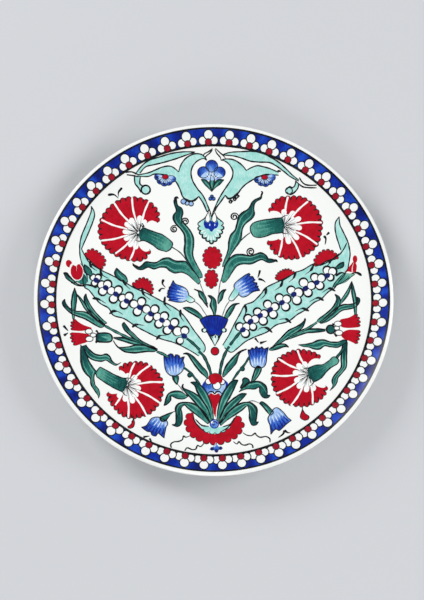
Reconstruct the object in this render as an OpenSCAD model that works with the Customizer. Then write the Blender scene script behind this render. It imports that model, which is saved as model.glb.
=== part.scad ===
// Hand painted ceramic plate, lying face up on its foot ring.
// +Z is up, +Y is the top of the painted design, the origin is the centre of the resting face.

/* [Dish] */
// Outer diameter of the plate over its glaze
plate_d = 300; // [250:10:400]
// Thickness of the fired clay in the flat middle
wall = 6; // [5:0.5:8]
// Thickness of the fired clay at the rounded lip
lip_t = 4; // [3:0.5:5]
// Share of the plate's radius that is flat before the face turns up
flat_share = 0.72; // [0.65:0.01:0.78]
// Radius of the curve that lifts the face towards the rim
face_curve_r = 84; // [76:2:120]

/* [Foot ring] */
// Outer diameter of the foot ring
foot_d = 168; // [140:2:180]
// Height of the foot ring below the clay of the dish
foot_h = 7; // [6:0.5:10]
// Width of the foot ring's wall
foot_w = 6; // [5:0.5:9]
// Diameter of each hanging hole through the foot ring
hole_d = 3; // [2:0.5:3]
// Angle of each hanging hole from the top of the design
hole_angle = 10; // [6:1:30]

/* [Glaze and paint] */
// Thickness of the white slip and glaze on the face and the back
glaze_t = 0.4; // [0.2:0.1:0.8]
// Height that each painted enamel stands on the white face
paint_t = 0.2; // [0.1:0.05:0.4]

/* [Border] */
// Number of half blossoms round the border
blossoms = 51; // [40:1:60]
// Radius of the border's inner black line, for a 300 mm plate
inner_line_r = 132.5; // [130:0.5:134]
// Radius where the cobalt band stops at its outer black line, for a 300 mm plate
band_r = 145.8; // [143:0.1:146]
// Width of the inner black line
inner_line_w = 1.4; // [0.8:0.1:2]
// Width of the outer black line
outer_line_w = 1; // [0.6:0.1:1.2]

/* [Hidden] */
$fn = 96;

design = plate_d / 300;            // the painting grows with the plate
body_r = plate_d / 2 - glaze_t;    // clay radius inside the glaze
flat_r = flat_share * plate_d / 2;
back_z = foot_h;
face_z = foot_h + wall;
lip_r = lip_t / 2;
lip_x = body_r - lip_r;
lip_z = face_z + face_curve_r - sqrt(pow(face_curve_r + lip_r, 2) - pow(lip_x - flat_r, 2));
back_flat_r = foot_d / 2 + 10;
back_dx = lip_x - back_flat_r;
back_dz = lip_z - back_z;
// the back's curve is tangent to the flat back and to the rounded lip
back_curve_r = (back_dx * back_dx + back_dz * back_dz - lip_r * lip_r) / (2 * (back_dz - lip_r));
back_turn = asin(back_dx / (back_curve_r - lip_r));
all_high = face_z + 40;
clip = 3;                          // how far cutting shapes run past what they cut

clay = [0.90, 0.86, 0.79];
white = [0.96, 0.96, 0.94];
black = [0.06, 0.07, 0.09];
cobalt = [0.02, 0.11, 0.52];
sky = [0.30, 0.47, 0.85];
coral = [0.72, 0.03, 0.10];
green = [0.10, 0.42, 0.36];
turquoise = [0.62, 0.86, 0.80];

// ---- sections of the dish ----

face_c = [flat_r, face_z + face_curve_r];
back_c = [back_flat_r, back_z + back_curve_r];
lip_c = [lip_x, lip_z];
from_back = [sin(back_turn), -cos(back_turn)]; // from the back curve's centre through the lip's centre

// The lip's rounded side, between the directions to the face curve and to the back curve
module lip_side() polygon([
    lip_c, face_c, lip_c + 5 * lip_t * [1, 1],
    lip_c + 5 * lip_t * [1, -1], lip_c + 5 * lip_t * from_back
]);

// Middle of the dish, flat on both sides
module dish_flat() translate([0, back_z]) square([back_flat_r, wall]);

// Where the back has begun to curve and the face is still flat
module dish_shoulder() intersection() {
    translate([back_flat_r, back_z - clip]) square([flat_r - back_flat_r, wall + clip]);
    translate(back_c) circle(back_curve_r, $fn = 256);
}

// The upturned part, between the face curve and the back curve
module dish_rise() difference() {
    intersection() {
        polygon([
            [flat_r, back_z - clip], face_c, lip_c, lip_c + 5 * lip_t * from_back
        ]);
        translate(back_c) circle(back_curve_r, $fn = 256);
    }
    translate(face_c) circle(face_curve_r, $fn = 256);
}

module dish_lip() intersection() {
    translate(lip_c) circle(lip_r, $fn = 64);
    lip_side();
}

module glaze_flat() translate([0, face_z]) square([flat_r, glaze_t]);

module glaze_rise() intersection() {
    polygon([[flat_r, face_z - clip], face_c, lip_c]);
    difference() {
        translate(face_c) circle(face_curve_r, $fn = 256);
        translate(face_c) circle(face_curve_r - glaze_t, $fn = 256);
    }
}

module glaze_lip() intersection() {
    difference() {
        translate(lip_c) circle(lip_r + glaze_t, $fn = 64);
        translate(lip_c) circle(lip_r, $fn = 64);
    }
    lip_side();
}

module under_glaze_flat() {
    inner = foot_d / 2 - foot_w;
    translate([0, back_z - glaze_t]) square([inner, glaze_t]);
    translate([foot_d / 2, back_z - glaze_t]) square([back_flat_r - foot_d / 2, glaze_t]);
}

module under_glaze_rise() intersection() {
    polygon([
        [back_flat_r, back_z - clip], back_c, lip_c, lip_c + 5 * lip_t * from_back,
        [lip_x, back_z - clip]
    ]);
    difference() {
        translate(back_c) circle(back_curve_r + glaze_t, $fn = 256);
        translate(back_c) circle(back_curve_r, $fn = 256);
    }
}

// Thin coat on the face from radius r0 to r1, resting on the face glaze
module coat_section(r0, r1) {
    low = glaze_t;
    high = glaze_t + paint_t;
    if (r0 < flat_r) translate([r0, face_z + low]) square([min(flat_r, r1) - r0, paint_t]);
    if (r1 > flat_r) intersection() {
        translate([max(flat_r, r0), face_z - clip]) square([r1 - max(flat_r, r0), 40]);
        difference() {
            translate(face_c) circle(face_curve_r - low, $fn = 256);
            translate(face_c) circle(face_curve_r - high, $fn = 256);
        }
    }
}

// ---- painting tools ----

// A 2D shape of the design, as enamel lying on the glazed face
module painted() {
    intersection() {
        rotate_extrude($fn = 256) coat_section(0, inner_line_r * design);
        linear_extrude(height = all_high) scale([design, design]) children();
    }
}

// A painted ring of the border between two radii
module painted_ring(r0, r1) {
    rotate_extrude($fn = 256) coat_section(r0 * design, r1 * design);
}

function unit(a) = a / norm(a);
function turn(p, a) = [p[0] * cos(a) - p[1] * sin(a), p[0] * sin(a) + p[1] * cos(a)];
// Point on the smooth curve through the points p, at share t of stretch i
function on_curve(p, i, t) =
    let (a = p[max(i - 1, 0)], b = p[i], c = p[i + 1], d = p[min(i + 2, len(p) - 1)])
    0.5 * (2 * b + (c - a) * t + (2 * a - 5 * b + 4 * c - d) * t * t + (3 * b - a - 3 * c + d) * t * t * t);
function smooth(p, n = 5) = [
    for (i = [0:len(p) - 2]) for (k = [0:n - 1]) on_curve(p, i, k / n), p[len(p) - 1]
];
function normal_at(c, i) =
    let (d = unit(c[min(i + 1, len(c) - 1)] - c[max(i - 1, 0)])) [-d[1], d[0]];

// A leaf along the points p, w wide at its broadest, pointed at both ends
module blade(p, w) {
    c = smooth(p);
    last = len(c) - 1;
    half = [for (i = [0:last]) 0.15 + w / 2 * pow(sin(180 * i / last), 0.7)];
    polygon([
        for (i = [0:last]) c[i] + half[i] * normal_at(c, i),
        for (i = [last:-1:0]) c[i] - half[i] * normal_at(c, i)
    ]);
}

// A closed smooth outline through the points p
module outline(p) {
    n = len(p);
    round_p = [for (i = [-1:n + 1]) p[(i + n) % n]];
    polygon([for (i = [1:n]) for (k = [0:3]) on_curve(round_p, i, k / 4)]);
}

// A flower head with n round lobes
module rosette(c, rx, ry, n, lobe) {
    for (i = [0:n - 1])
        translate(c + [(rx - lobe) * sin(360 * i / n), (ry - lobe) * cos(360 * i / n)]) circle(lobe, $fn = 24);
    translate(c) circle(min(rx, ry) - lobe * 0.8);
}

// A carnation: a scalloped fan about centre c, cut open round its white heart
module carnation(c, r, heart, axis, heart_r = 9, opening = 44) {
    lobes = 30;
    difference() {
        union() {
            translate(c) circle(r - 1.6);
            for (i = [0:lobes - 1]) translate(c + (r - 2) * [cos(12 * i), sin(12 * i)]) circle(2, $fn = 24);
        }
        translate(heart) circle(heart_r);
        polygon([
            heart,
            heart + turn([60, 0], axis - opening),
            heart + turn([60, 0], axis + opening)
        ]);
    }
}

// The green tube that carries a carnation, from its mouth a to its round end b
module calyx(a, b, mouth, end) {
    d = unit(b - a);
    n = [-d[1], d[0]];
    waist = (a + b) / 2;
    outline([
        a + 0.4 * mouth * n, waist + 0.42 * mouth * n, b - end * d + end * n, b,
        b - end * d - end * n, waist - 0.42 * mouth * n, a - 0.4 * mouth * n
    ]);
}

// A tulip bell with its foot at p, opening along the angle a
module tulip(p, a, h, w) {
    translate(p) rotate(a - 90) outline([
        [0, 0], [w * 0.32, h * 0.1], [w * 0.5, h * 0.42], [w * 0.46, h * 0.8], [w * 0.52, h],
        [w * 0.25, h * 0.86], [0, h * 0.98], [-w * 0.25, h * 0.86], [-w * 0.52, h],
        [-w * 0.46, h * 0.8], [-w * 0.5, h * 0.42], [-w * 0.32, h * 0.1]
    ]);
}

// ---- the plate ----

module dish_body() color(clay) union() {
    rotate_extrude($fn = 256) dish_flat();
    rotate_extrude($fn = 256) dish_shoulder();
    rotate_extrude($fn = 256) dish_rise();
    rotate_extrude($fn = 256) dish_lip();
}

module foot_ring() color(clay) difference() {
    edge = 1.2;
    inner = foot_d / 2 - foot_w;
    rotate_extrude($fn = 256) {
        translate([inner, edge]) square([foot_w, foot_h - edge]);
        translate([inner + edge, 0]) square([foot_w - 2 * edge, foot_h]);
        for (x = [inner + edge, inner + foot_w - edge]) translate([x, edge]) circle(edge);
    }
    for (side = [-1, 1]) rotate(90 + side * hole_angle) translate([inner - 2, 0, foot_h / 2])
        rotate([0, 90, 0]) cylinder(d = hole_d, h = foot_w + 4);
}

module face_glaze() color(white) union() {
    rotate_extrude($fn = 256) glaze_flat();
    rotate_extrude($fn = 256) glaze_rise();
    rotate_extrude($fn = 256) glaze_lip();
}

module back_glaze() color(white) union() {
    rotate_extrude($fn = 256) under_glaze_flat();
    rotate_extrude($fn = 256) under_glaze_rise();
}

module border_outer_line() color(black) painted_ring(band_r, band_r + outer_line_w);

module border_inner_line() color(black)
    painted_ring(inner_line_r, inner_line_r + inner_line_w);

module blossom_petals(r = 2.6) {
    ring = inner_line_r + inner_line_w;
    for (i = [0:blossoms - 1]) rotate(360 * i / blossoms) {
        translate([ring + 6.2, 0]) circle(r + 0.4, $fn = 24);
        for (s = [-1, 1]) translate([ring + 2.4, s * 4.6]) circle(r, $fn = 24);
    }
}

module border_cobalt_band() color(cobalt) intersection() {
    painted_ring(inner_line_r + inner_line_w, band_r);
    linear_extrude(height = all_high) scale([design, design]) difference() {
        circle(band_r + 1);
        circle(inner_line_r);
        blossom_petals();
        for (i = [0:blossoms - 1]) rotate(360 * i / blossoms) {
            translate([inner_line_r, -4.6]) square([inner_line_w + 2.4, 9.2]);
            translate([inner_line_r, -2.2]) square([inner_line_w + 5, 4.4]);
        }
    }
}

module border_blossom_hearts() color(coral) intersection() {
    painted_ring(inner_line_r + inner_line_w, band_r);
    linear_extrude(height = all_high) scale([design, design])
        for (i = [0:blossoms - 1]) rotate(360 * i / blossoms)
            translate([inner_line_r + inner_line_w + 1.4, 0]) circle(2, $fn = 24);
}

module carnation_upper_left() color(coral) painted() carnation([-70, 60.5], 27, [-64, 57], -20);
module carnation_upper_right() color(coral) painted() carnation([69.5, 61], 27, [61, 63], 184);
module carnation_lower_left() color(coral) painted() carnation([-66.5, -77.5], 24, [-74, -74], 155);
module carnation_lower_right() color(coral) painted() carnation([70.5, -68], 24, [78, -67], 22);

module calyx_upper_left() color(green) painted() calyx([-60.5, 56], [-36, 45], 10, 4.8);
module calyx_upper_right() color(green) painted() calyx([58.5, 63], [31.5, 59.5], 10, 5);
module calyx_lower_left() color(green) painted() calyx([-75.5, -73], [-98.5, -60.5], 10, 4.4);
module calyx_lower_right() color(green) painted() calyx([80, -66], [102, -52.5], 11, 3.6);

module feather_left_shape() outline([
    [-9, -42], [-17, -25], [-29, -10], [-43, 0], [-58, 9], [-76, 16], [-92, 27], [-108, 42],
    [-108, 55], [-101, 70], [-103, 80], [-109, 66], [-113, 52], [-113, 38], [-110, 20], [-101, 3],
    [-87, -10], [-68, -22], [-47, -33], [-30, -39], [-14, -48]
]);
module feather_right_shape() outline([
    [7, -41], [13, -30], [26, -7], [43, 6], [58, 16], [75, 24], [90, 29], [102, 37],
    [105, 46], [103, 58], [106, 69], [109, 58], [114, 46], [115, 36], [113, 24], [101, 8],
    [90, -1], [78, -10], [63, -20], [48, -29], [30, -36], [15, -46]
]);
// Chain of five petalled blossoms that runs up a feather leaf
left_chain = [[-25, -32], [-36, -24], [-44, -18], [-53, -13], [-62, -7], [-72, -2], [-81, 4], [-90, 9], [-98, 16]];
right_chain = [[24, -28], [30, -20], [38, -15], [48, -10], [57, -4], [67, 2], [77, 9], [86, 14], [96, 19]];

module chain_shape(points) for (p = points) for (a = [30:120:270]) translate(p + 3 * [cos(a), sin(a)])
    circle(2.4, $fn = 24);

module feather_leaf_left() color(turquoise) painted() difference() {
    feather_left_shape();
    chain_shape(left_chain);
    leaf_rosettes_left_shape();
    rosebud_left_shape();
}
module feather_leaf_right() color(turquoise) painted() difference() {
    feather_right_shape();
    chain_shape(right_chain);
    leaf_rosettes_right_shape();
    rosebud_right_shape();
}
module leaf_blossoms_left() color(white) painted() chain_shape(left_chain);
module leaf_blossoms_right() color(white) painted() chain_shape(right_chain);

module leaf_rosettes_left_shape() {
    outline([[-107, 40], [-102, 42], [-95, 38], [-91, 31], [-93, 27], [-95, 25], [-101, 30], [-107, 36]]);
    outline([[-69, 12], [-66, 15], [-60, 17], [-53, 13], [-51, 8], [-51, 4], [-57, 6], [-64, 8]]);
}
module leaf_rosettes_right_shape() {
    outline([[84, 29], [86, 36], [92, 39], [99, 41], [103, 37], [104, 34], [97, 31], [90, 27], [85, 26]]);
    outline([[51, 15], [54, 19], [60, 24], [67, 23], [68, 21], [62, 17], [54, 14]]);
}
module leaf_rosettes_left() color(coral) painted() leaf_rosettes_left_shape();
module leaf_rosettes_right() color(coral) painted() leaf_rosettes_right_shape();

// Split leaf of the crowning arabesque, drawn for the left and mirrored for the right
module arabesque_shape() outline([
    [-6, 121], [-12, 125], [-20, 123], [-26, 118], [-29, 111], [-36, 114.5], [-46, 112], [-57, 107.5],
    [-46, 108], [-36, 107], [-30, 100], [-27, 91], [-24, 86], [-18, 84.5], [-13.5, 88],
    [-16, 96], [-18.5, 104], [-19, 110], [-16, 117], [-11, 121]
]);
module arabesque_left() color(turquoise) painted() arabesque_shape();
module arabesque_right() color(turquoise) painted() mirror([1, 0]) arabesque_shape();

module crown_flower() color(cobalt) painted() outline([
    [-1, 120.5], [3, 118], [5, 113.5], [9, 112.5], [10, 108], [8, 104.5], [2, 103], [-2, 104],
    [-8, 103.5], [-12, 106], [-12.5, 110], [-9, 114], [-6, 114], [-5, 118]
]);

module pendant_palmette() color(turquoise) painted() outline([
    [-2, 47], [-8, 51], [-11, 56], [-11.5, 62], [-11, 67], [-6, 70], [-2, 68], [2, 70], [7, 67],
    [7.5, 61], [6.5, 55], [3, 51]
]);

module centre_rosettes() color(coral) painted() {
    rosette([-1, 35], 8.2, 9.8, 10, 2.5);
    rosette([-2, 16.5], 5.8, 8, 8, 2.4);
    translate([0.5, -45]) circle(3.4);
}

module centre_bud() color(cobalt) painted() outline([
    [-12, -19], [-6, -16], [0, -15], [6, -16], [12, -19], [8, -26], [4, -33], [1, -31], [-2, -33], [-6, -27]
]);

module root_leaf_paths_left() {
    blade([[-2.5, -98], [-6, -90], [-11, -80], [-19, -71]], 5.5);
    blade([[-6, -99], [-13, -91], [-20, -84], [-27, -74]], 5);
    blade([[-9, -102], [-17, -97], [-25, -91], [-30, -92], [-31, -99], [-35, -107]], 4.6);
    blade([[-26, -84], [-31, -80.5], [-37, -81], [-39, -86], [-42, -90]], 4);
    blade([[-5.5, -62], [-7, -55], [-9.5, -51]], 2.4);
    blade([[-9, -64], [-14, -56], [-19, -50], [-26, -47]], 4.4);
}
module root_leaf_paths_right() {
    blade([[2.5, -98], [6, -90], [10, -80], [18, -70]], 5.5);
    blade([[6, -99], [12, -92], [18, -86], [26, -81]], 4.6);
    blade([[9, -102], [17, -96], [25, -91], [30, -92], [31, -98], [34, -105]], 4.4);
    blade([[23, -76.5], [29, -73.5], [36, -73], [40, -77], [41, -82], [44, -86]], 4);
    blade([[5, -61], [6.5, -55], [8.5, -50]], 2.4);
    blade([[9, -63], [14, -55], [19, -48], [27, -44]], 4.4);
}

module peony_shape() difference() {
    union() {
        for (i = [0:10]) translate([0, -97] + turn([21, 0], 181 + 17.8 * i)) circle(4.6, $fn = 32);
        translate([0, -97]) circle(20.5);
    }
    translate([0, -96]) circle(17.4);
    translate([-40, -97]) square([80, 40]);
}
module root_peony() color(coral) painted() difference() {
    peony_shape();
    root_leaf_paths_left();
    root_leaf_paths_right();
}
module root_collar() color(sky) painted() difference() {
    union() {
        for (s = [-1, 1]) outline([
            [s * 3, -79], [s * 8, -80], [s * 9.5, -75], [s * 7, -70], [s * 6, -73], [s * 3, -76], [s * 1, -78]
        ]);
        translate([0.5, -69]) circle(4.6);
    }
    root_leaf_paths_left();
    root_leaf_paths_right();
}

module tulip_upper_left() color(sky) painted() tulip([-21, 2], 165, 17, 15);
module tulip_upper_right() color(sky) painted() tulip([19, 5], 33, 17, 15);
module tulip_middle_left() color(sky) painted() tulip([-33.5, -66], 91, 18, 15.5);
module tulip_middle_right() color(sky) painted() tulip([36, -59], 90, 16, 15.5);
module tulip_lower_left() color(sky) painted() tulip([-42, -101], 238, 15, 15);
module tulip_lower_right() color(sky) painted() tulip([46, -97], 300, 16, 15);

module side_pink_shape() outline([
    [0, 2], [6, 8], [13, 10], [13, 5], [14, 1], [13, -4], [13, -9], [6, -6], [0, -2]
]);
module side_pink_left() color(coral) painted() translate([-104, -29]) rotate(184) side_pink_shape();
module side_pink_right() color(coral) painted() translate([106, -26]) rotate(-2) side_pink_shape();

module rosebud_left_shape() {
    translate([-114.5, 24]) circle(5.4);
    translate([-121, 30]) circle(2.8);
}
module rosebud_right_shape() outline([
    [111, 22], [113, 26], [116, 31], [118, 35], [121, 34], [121, 28], [120, 22], [118, 20.5], [115, 22]
]);
module rosebud_left() color(coral) painted() rosebud_left_shape();
module rosebud_right() color(coral) painted() rosebud_right_shape();

module upper_leaves_left() color(green) painted() difference() {
    union() {
        blade([[-10, 18], [-17, 31], [-21, 43], [-20, 53], [-27, 64], [-30, 72], [-31, 81], [-31, 88]], 8);
        blade([[-12, 13], [-18, 21], [-27, 27], [-40, 31], [-50, 28], [-58, 30], [-64, 27], [-68, 29]], 7);
    }
    calyx([-60.5, 56], [-36, 45], 10, 4.8);
}
module upper_leaves_right() color(green) painted() {
    blade([[9, 28], [12, 38], [15, 50], [21, 60], [28, 69], [33, 76], [36, 83], [41, 91]], 8);
    blade([[7, 14], [11, 22], [17, 31], [26, 34], [36, 36], [42, 36], [47, 32], [53, 32]], 7);
}
module centre_leaves() color(green) painted() {
    blade([[-5, -7], [-10, 2], [-17, 8]], 4.4);
    blade([[1, -14], [0, -4], [-5, 3]], 4.4);
    blade([[3, -5], [5, 2], [10, 7]], 3.6);
    blade([[-12, -17], [-18, -11], [-26, -8]], 4.6);
    blade([[12, -17], [15, -10], [21, -4]], 4);
}
module root_leaves_left() color(green) painted() root_leaf_paths_left();
module root_leaves_right() color(green) painted() root_leaf_paths_right();

module side_leaves_left() color(green) painted() {
    blade([[-49, -42], [-60, -38], [-70, -29], [-76, -20]], 6);
    blade([[-49, -43], [-64, -43], [-76, -43], [-84, -37]], 5);
    blade([[-90, -21], [-100, -13], [-106, -3], [-107, 4]], 5);
    blade([[-93, -23], [-105, -13], [-119, -11], [-126, -1]], 5);
    blade([[-117, 9], [-117.5, 0], [-117, -9], [-117, -16]], 4);
    blade([[-110, -41], [-104, -47], [-95, -50], [-87, -50], [-82, -54], [-77, -54]], 5);
    blade([[-110, -42], [-109, -54], [-103, -65], [-100, -72], [-96, -80], [-96, -84]], 7);
}
module side_leaves_right() color(green) painted() {
    blade([[47, -43], [60, -35], [72, -27], [75, -18]], 6);
    blade([[60, -34], [74, -29], [86, -27], [93, -27]], 3);
    blade([[88, -19], [98, -12], [102, -5], [101, 3]], 5);
    blade([[90, -21], [101, -11], [113, -7], [121, -3]], 5);
    blade([[115.5, 13], [117, 3], [118, -6], [118, -12]], 4);
    blade([[108, -38], [100, -42], [91, -39], [84, -42], [77, -39], [70, -40]], 6);
    blade([[110, -42], [109, -54], [103, -64], [99, -72], [96, -77]], 6);
}

dish_body();
foot_ring();
face_glaze();
back_glaze();
border_outer_line();
border_cobalt_band();
border_blossom_hearts();
border_inner_line();
carnation_upper_left();
carnation_upper_right();
carnation_lower_left();
carnation_lower_right();
calyx_upper_left();
calyx_upper_right();
calyx_lower_left();
calyx_lower_right();
feather_leaf_left();
feather_leaf_right();
leaf_blossoms_left();
leaf_blossoms_right();
leaf_rosettes_left();
leaf_rosettes_right();
arabesque_left();
arabesque_right();
crown_flower();
pendant_palmette();
centre_rosettes();
centre_bud();
root_peony();
root_collar();
tulip_upper_left();
tulip_upper_right();
tulip_middle_left();
tulip_middle_right();
tulip_lower_left();
tulip_lower_right();
side_pink_left();
side_pink_right();
rosebud_left();
rosebud_right();
upper_leaves_left();
upper_leaves_right();
centre_leaves();
root_leaves_left();
root_leaves_right();
side_leaves_left();
side_leaves_right();
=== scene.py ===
import math
import random

import bmesh
import bpy
import numpy as np
from mathutils import Matrix, Vector, geometry


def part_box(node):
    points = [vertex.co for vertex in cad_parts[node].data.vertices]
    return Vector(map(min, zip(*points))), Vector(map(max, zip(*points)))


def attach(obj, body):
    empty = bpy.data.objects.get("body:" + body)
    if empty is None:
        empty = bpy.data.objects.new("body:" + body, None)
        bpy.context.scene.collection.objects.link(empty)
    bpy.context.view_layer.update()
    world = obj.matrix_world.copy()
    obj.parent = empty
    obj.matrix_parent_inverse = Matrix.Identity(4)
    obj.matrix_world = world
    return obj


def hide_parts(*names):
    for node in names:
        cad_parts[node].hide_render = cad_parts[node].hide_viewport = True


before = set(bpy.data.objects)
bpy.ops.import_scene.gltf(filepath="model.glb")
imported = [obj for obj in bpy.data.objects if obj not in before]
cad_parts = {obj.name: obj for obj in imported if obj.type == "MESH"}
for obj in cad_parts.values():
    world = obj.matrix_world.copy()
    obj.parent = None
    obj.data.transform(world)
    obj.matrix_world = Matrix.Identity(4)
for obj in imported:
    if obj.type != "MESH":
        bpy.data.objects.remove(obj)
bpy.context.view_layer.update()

MM = 0.001
TURN_STEPS = 720   # corners of a piece that goes all the way round
rng = random.Random(51)

# ---------- the plate's face, in millimetres ----------

glaze_low, glaze_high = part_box("face_glaze")
back_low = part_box("back_glaze")[0]
GLAZE = 0.4
FLAT_R = 108.0
CURVE_R = 84.0
LIP_R = 2.0
plate_r = glaze_high.x / MM
clay_face = glaze_low.z / MM
lip_x = plate_r - GLAZE - LIP_R
lip_z = clay_face + CURVE_R - math.sqrt((CURVE_R + LIP_R) ** 2 - (lip_x - FLAT_R) ** 2)


def face(x, y):
    """Height of the glazed face above the floor at a point of the design."""
    out = max(math.hypot(x, y) - FLAT_R, 0.0)
    return clay_face + CURVE_R - math.sqrt((CURVE_R - GLAZE) ** 2 - out * out)


# ---------- curves ----------

def pts(*numbers):
    """Pairs of numbers as points of the design."""
    return [(numbers[i], numbers[i + 1]) for i in range(0, len(numbers), 2)]


def smooth(points, step=0.7, closed=False):
    """Points at even steps along the smooth curve through the given ones."""
    p = [np.array(q, float) for q in points]
    n = len(p)
    if n < 3 and not closed:
        stretches = [(p[0], p[0], p[-1], p[-1])]
    elif closed:
        stretches = [(p[i - 1], p[i], p[(i + 1) % n], p[(i + 2) % n]) for i in range(n)]
    else:
        stretches = [(p[max(i - 1, 0)], p[i], p[i + 1], p[min(i + 2, n - 1)]) for i in range(n - 1)]
    out = []
    for a, b, c, d in stretches:
        count = max(2, int(math.ceil(np.linalg.norm(c - b) / step)))
        for k in range(count):
            t = k / count
            cubic = (3 * b - a - 3 * c + d) * t ** 3 + (2 * a - 5 * b + 4 * c - d) * t * t
            out.append(0.5 * (2 * b + (c - a) * t + cubic))
    if not closed:
        out.append(p[-1])
    return out


def even(points, count):
    """The curve through the points as count points at equal distances."""
    c = np.array(smooth(points, 0.3))
    run = np.concatenate([[0], np.cumsum(np.linalg.norm(np.diff(c, axis=0), axis=1))])
    at = np.linspace(0, run[-1], count)
    return [np.array((np.interp(s, run, c[:, 0]), np.interp(s, run, c[:, 1]))) for s in at]


def loop(*sides):
    """A closed outline from smooth sides that meet in corners."""
    out = []
    for side in sides:
        curve = smooth(side)
        out += curve[:-1] if len(side) > 1 else [np.array(side[0], float)]
    return out


def round_loop(points):
    """A closed outline without corners."""
    return smooth(points, 0.6, True)


def disc(x, y, r, squash=1.0, turn=0.0, count=20):
    """A round outline, or an oval one if squash isn't 1, turned by turn degrees."""
    a = math.radians(turn)
    ring = []
    for k in range(count):
        t = 2 * math.pi * k / count
        u, v = r * math.cos(t), r * squash * math.sin(t)
        ring.append(np.array((x + u * math.cos(a) - v * math.sin(a), y + u * math.sin(a) + v * math.cos(a))))
    return ring


BUMP_STEPS = 6     # points along each bump of a scalloped edge


def scallops(points, count, depth, middle):
    """A run of count small bumps along the curve, bulging away from the middle."""
    base = even(points, count * BUMP_STEPS + 1)
    middle = np.array(middle, float)
    out = []
    for i, p in enumerate(base):
        d = base[min(i + 1, len(base) - 1)] - base[max(i - 1, 0)]
        d = d / (np.linalg.norm(d) + 1e-9)
        away = np.array((-d[1], d[0]))
        if np.dot(away, p - middle) < 0:
            away = -away
        bump = depth * (abs(math.sin(math.pi * i / BUMP_STEPS)) ** 0.6 - 0.5)
        out.append(p + bump * away)
    return out


def inside(px, py, ring):
    """Which points lie inside the closed outline."""
    hit = np.zeros(px.shape, bool)
    x0, y0 = ring[-1]
    for x1, y1 in ring:
        if y1 != y0:
            crosses = (py < y1) != (py < y0)
            hit ^= crosses & (px < (x0 - x1) * (py - y1) / (y0 - y1) + x1)
        x0, y0 = x1, y1
    return hit


# ---------- coats of paint ----------

# Millimetres above the white face. A coat that lies on another one adds a few hundredths to these.
FILL = 0.05        # a flat wash of colour
OVER = 0.08        # a second wash on the first
LINE = 0.12        # black contour lines
ROOT = 0.03        # how far each coat is sunk into the glaze
coats = {}


def coat(motif, colour):
    """The mesh that gathers all of a motif's paint of one colour."""
    return coats.setdefault((motif, colour), {"v": [], "f": [], "tone": []})


def fill(motif, colour, ring, grade=None, level=FILL, tone=0.5, grid=2.4):
    """A closed patch of colour. grade is two points: tone runs from 0 at the first to 1 at the second."""
    ring = np.array(ring, float)
    keep = [i for i in range(len(ring)) if np.linalg.norm(ring[i] - ring[i - 1]) > 0.05]
    ring = ring[keep]
    low, high = ring.min(0), ring.max(0)
    gx, gy = np.meshgrid(np.arange(low[0], high[0], grid), np.arange(low[1], high[1], grid))
    gx, gy = gx.ravel(), gy.ravel()
    sel = inside(gx, gy, ring)
    spots = np.stack([gx[sel], gy[sel]], 1)
    if len(spots):
        gap = np.min(np.linalg.norm(spots[:, None] - ring[None], axis=2), axis=1)
        spots = spots[gap > grid * 0.35]
    every = [Vector(p) for p in ring] + [Vector(p) for p in spots]
    n = len(ring)
    edges = [(i, (i + 1) % n) for i in range(n)]
    found = geometry.delaunay_2d_cdt(every, edges, [], 1, 1e-5)
    flat, tris = found[0], found[2]
    if not tris:
        return
    c = coat(motif, colour)
    base = len(c["v"])
    m = len(flat)
    for height in (level, -ROOT):
        for p in flat:
            c["v"].append((p.x, p.y, face(p.x, p.y) + height))
            c["tone"].append(graded(p, grade, tone))
    sides = {}
    for tri in tris:
        c["f"].append(tuple(base + i for i in tri))
        c["f"].append(tuple(base + m + i for i in reversed(tri)))
        for k in range(3):
            a, b = tri[k], tri[(k + 1) % 3]
            sides[(a, b)] = sides.get((a, b), 0) + 1
    for a, b in sides:
        if (b, a) not in sides:
            c["f"].append((base + b, base + a, base + m + a, base + m + b))


def graded(p, grade, tone):
    """The tone at a point: from 0 to 1 between grade's two points, or the given tone without grade."""
    if grade is None:
        return tone
    a, b = np.array(grade[0], float), np.array(grade[1], float)
    d = b - a
    t = float(np.dot((p[0] - a[0], p[1] - a[1]), d) / np.dot(d, d))
    return min(1.0, max(0.0, t))


def swell(t, ends):
    """Share of the full width at t along a brush stroke. Without ends it starts thick and runs out thin."""
    if ends is None:
        return min(1.0, 0.4 + 5.0 * t) * (1.0 - 0.85 * t)
    first = ends[0] + (1 - ends[0]) * min(1.0, t / 0.3) ** 0.7
    last = ends[1] + (1 - ends[1]) * min(1.0, (1 - t) / 0.3) ** 0.7
    return min(first, last)


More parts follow.
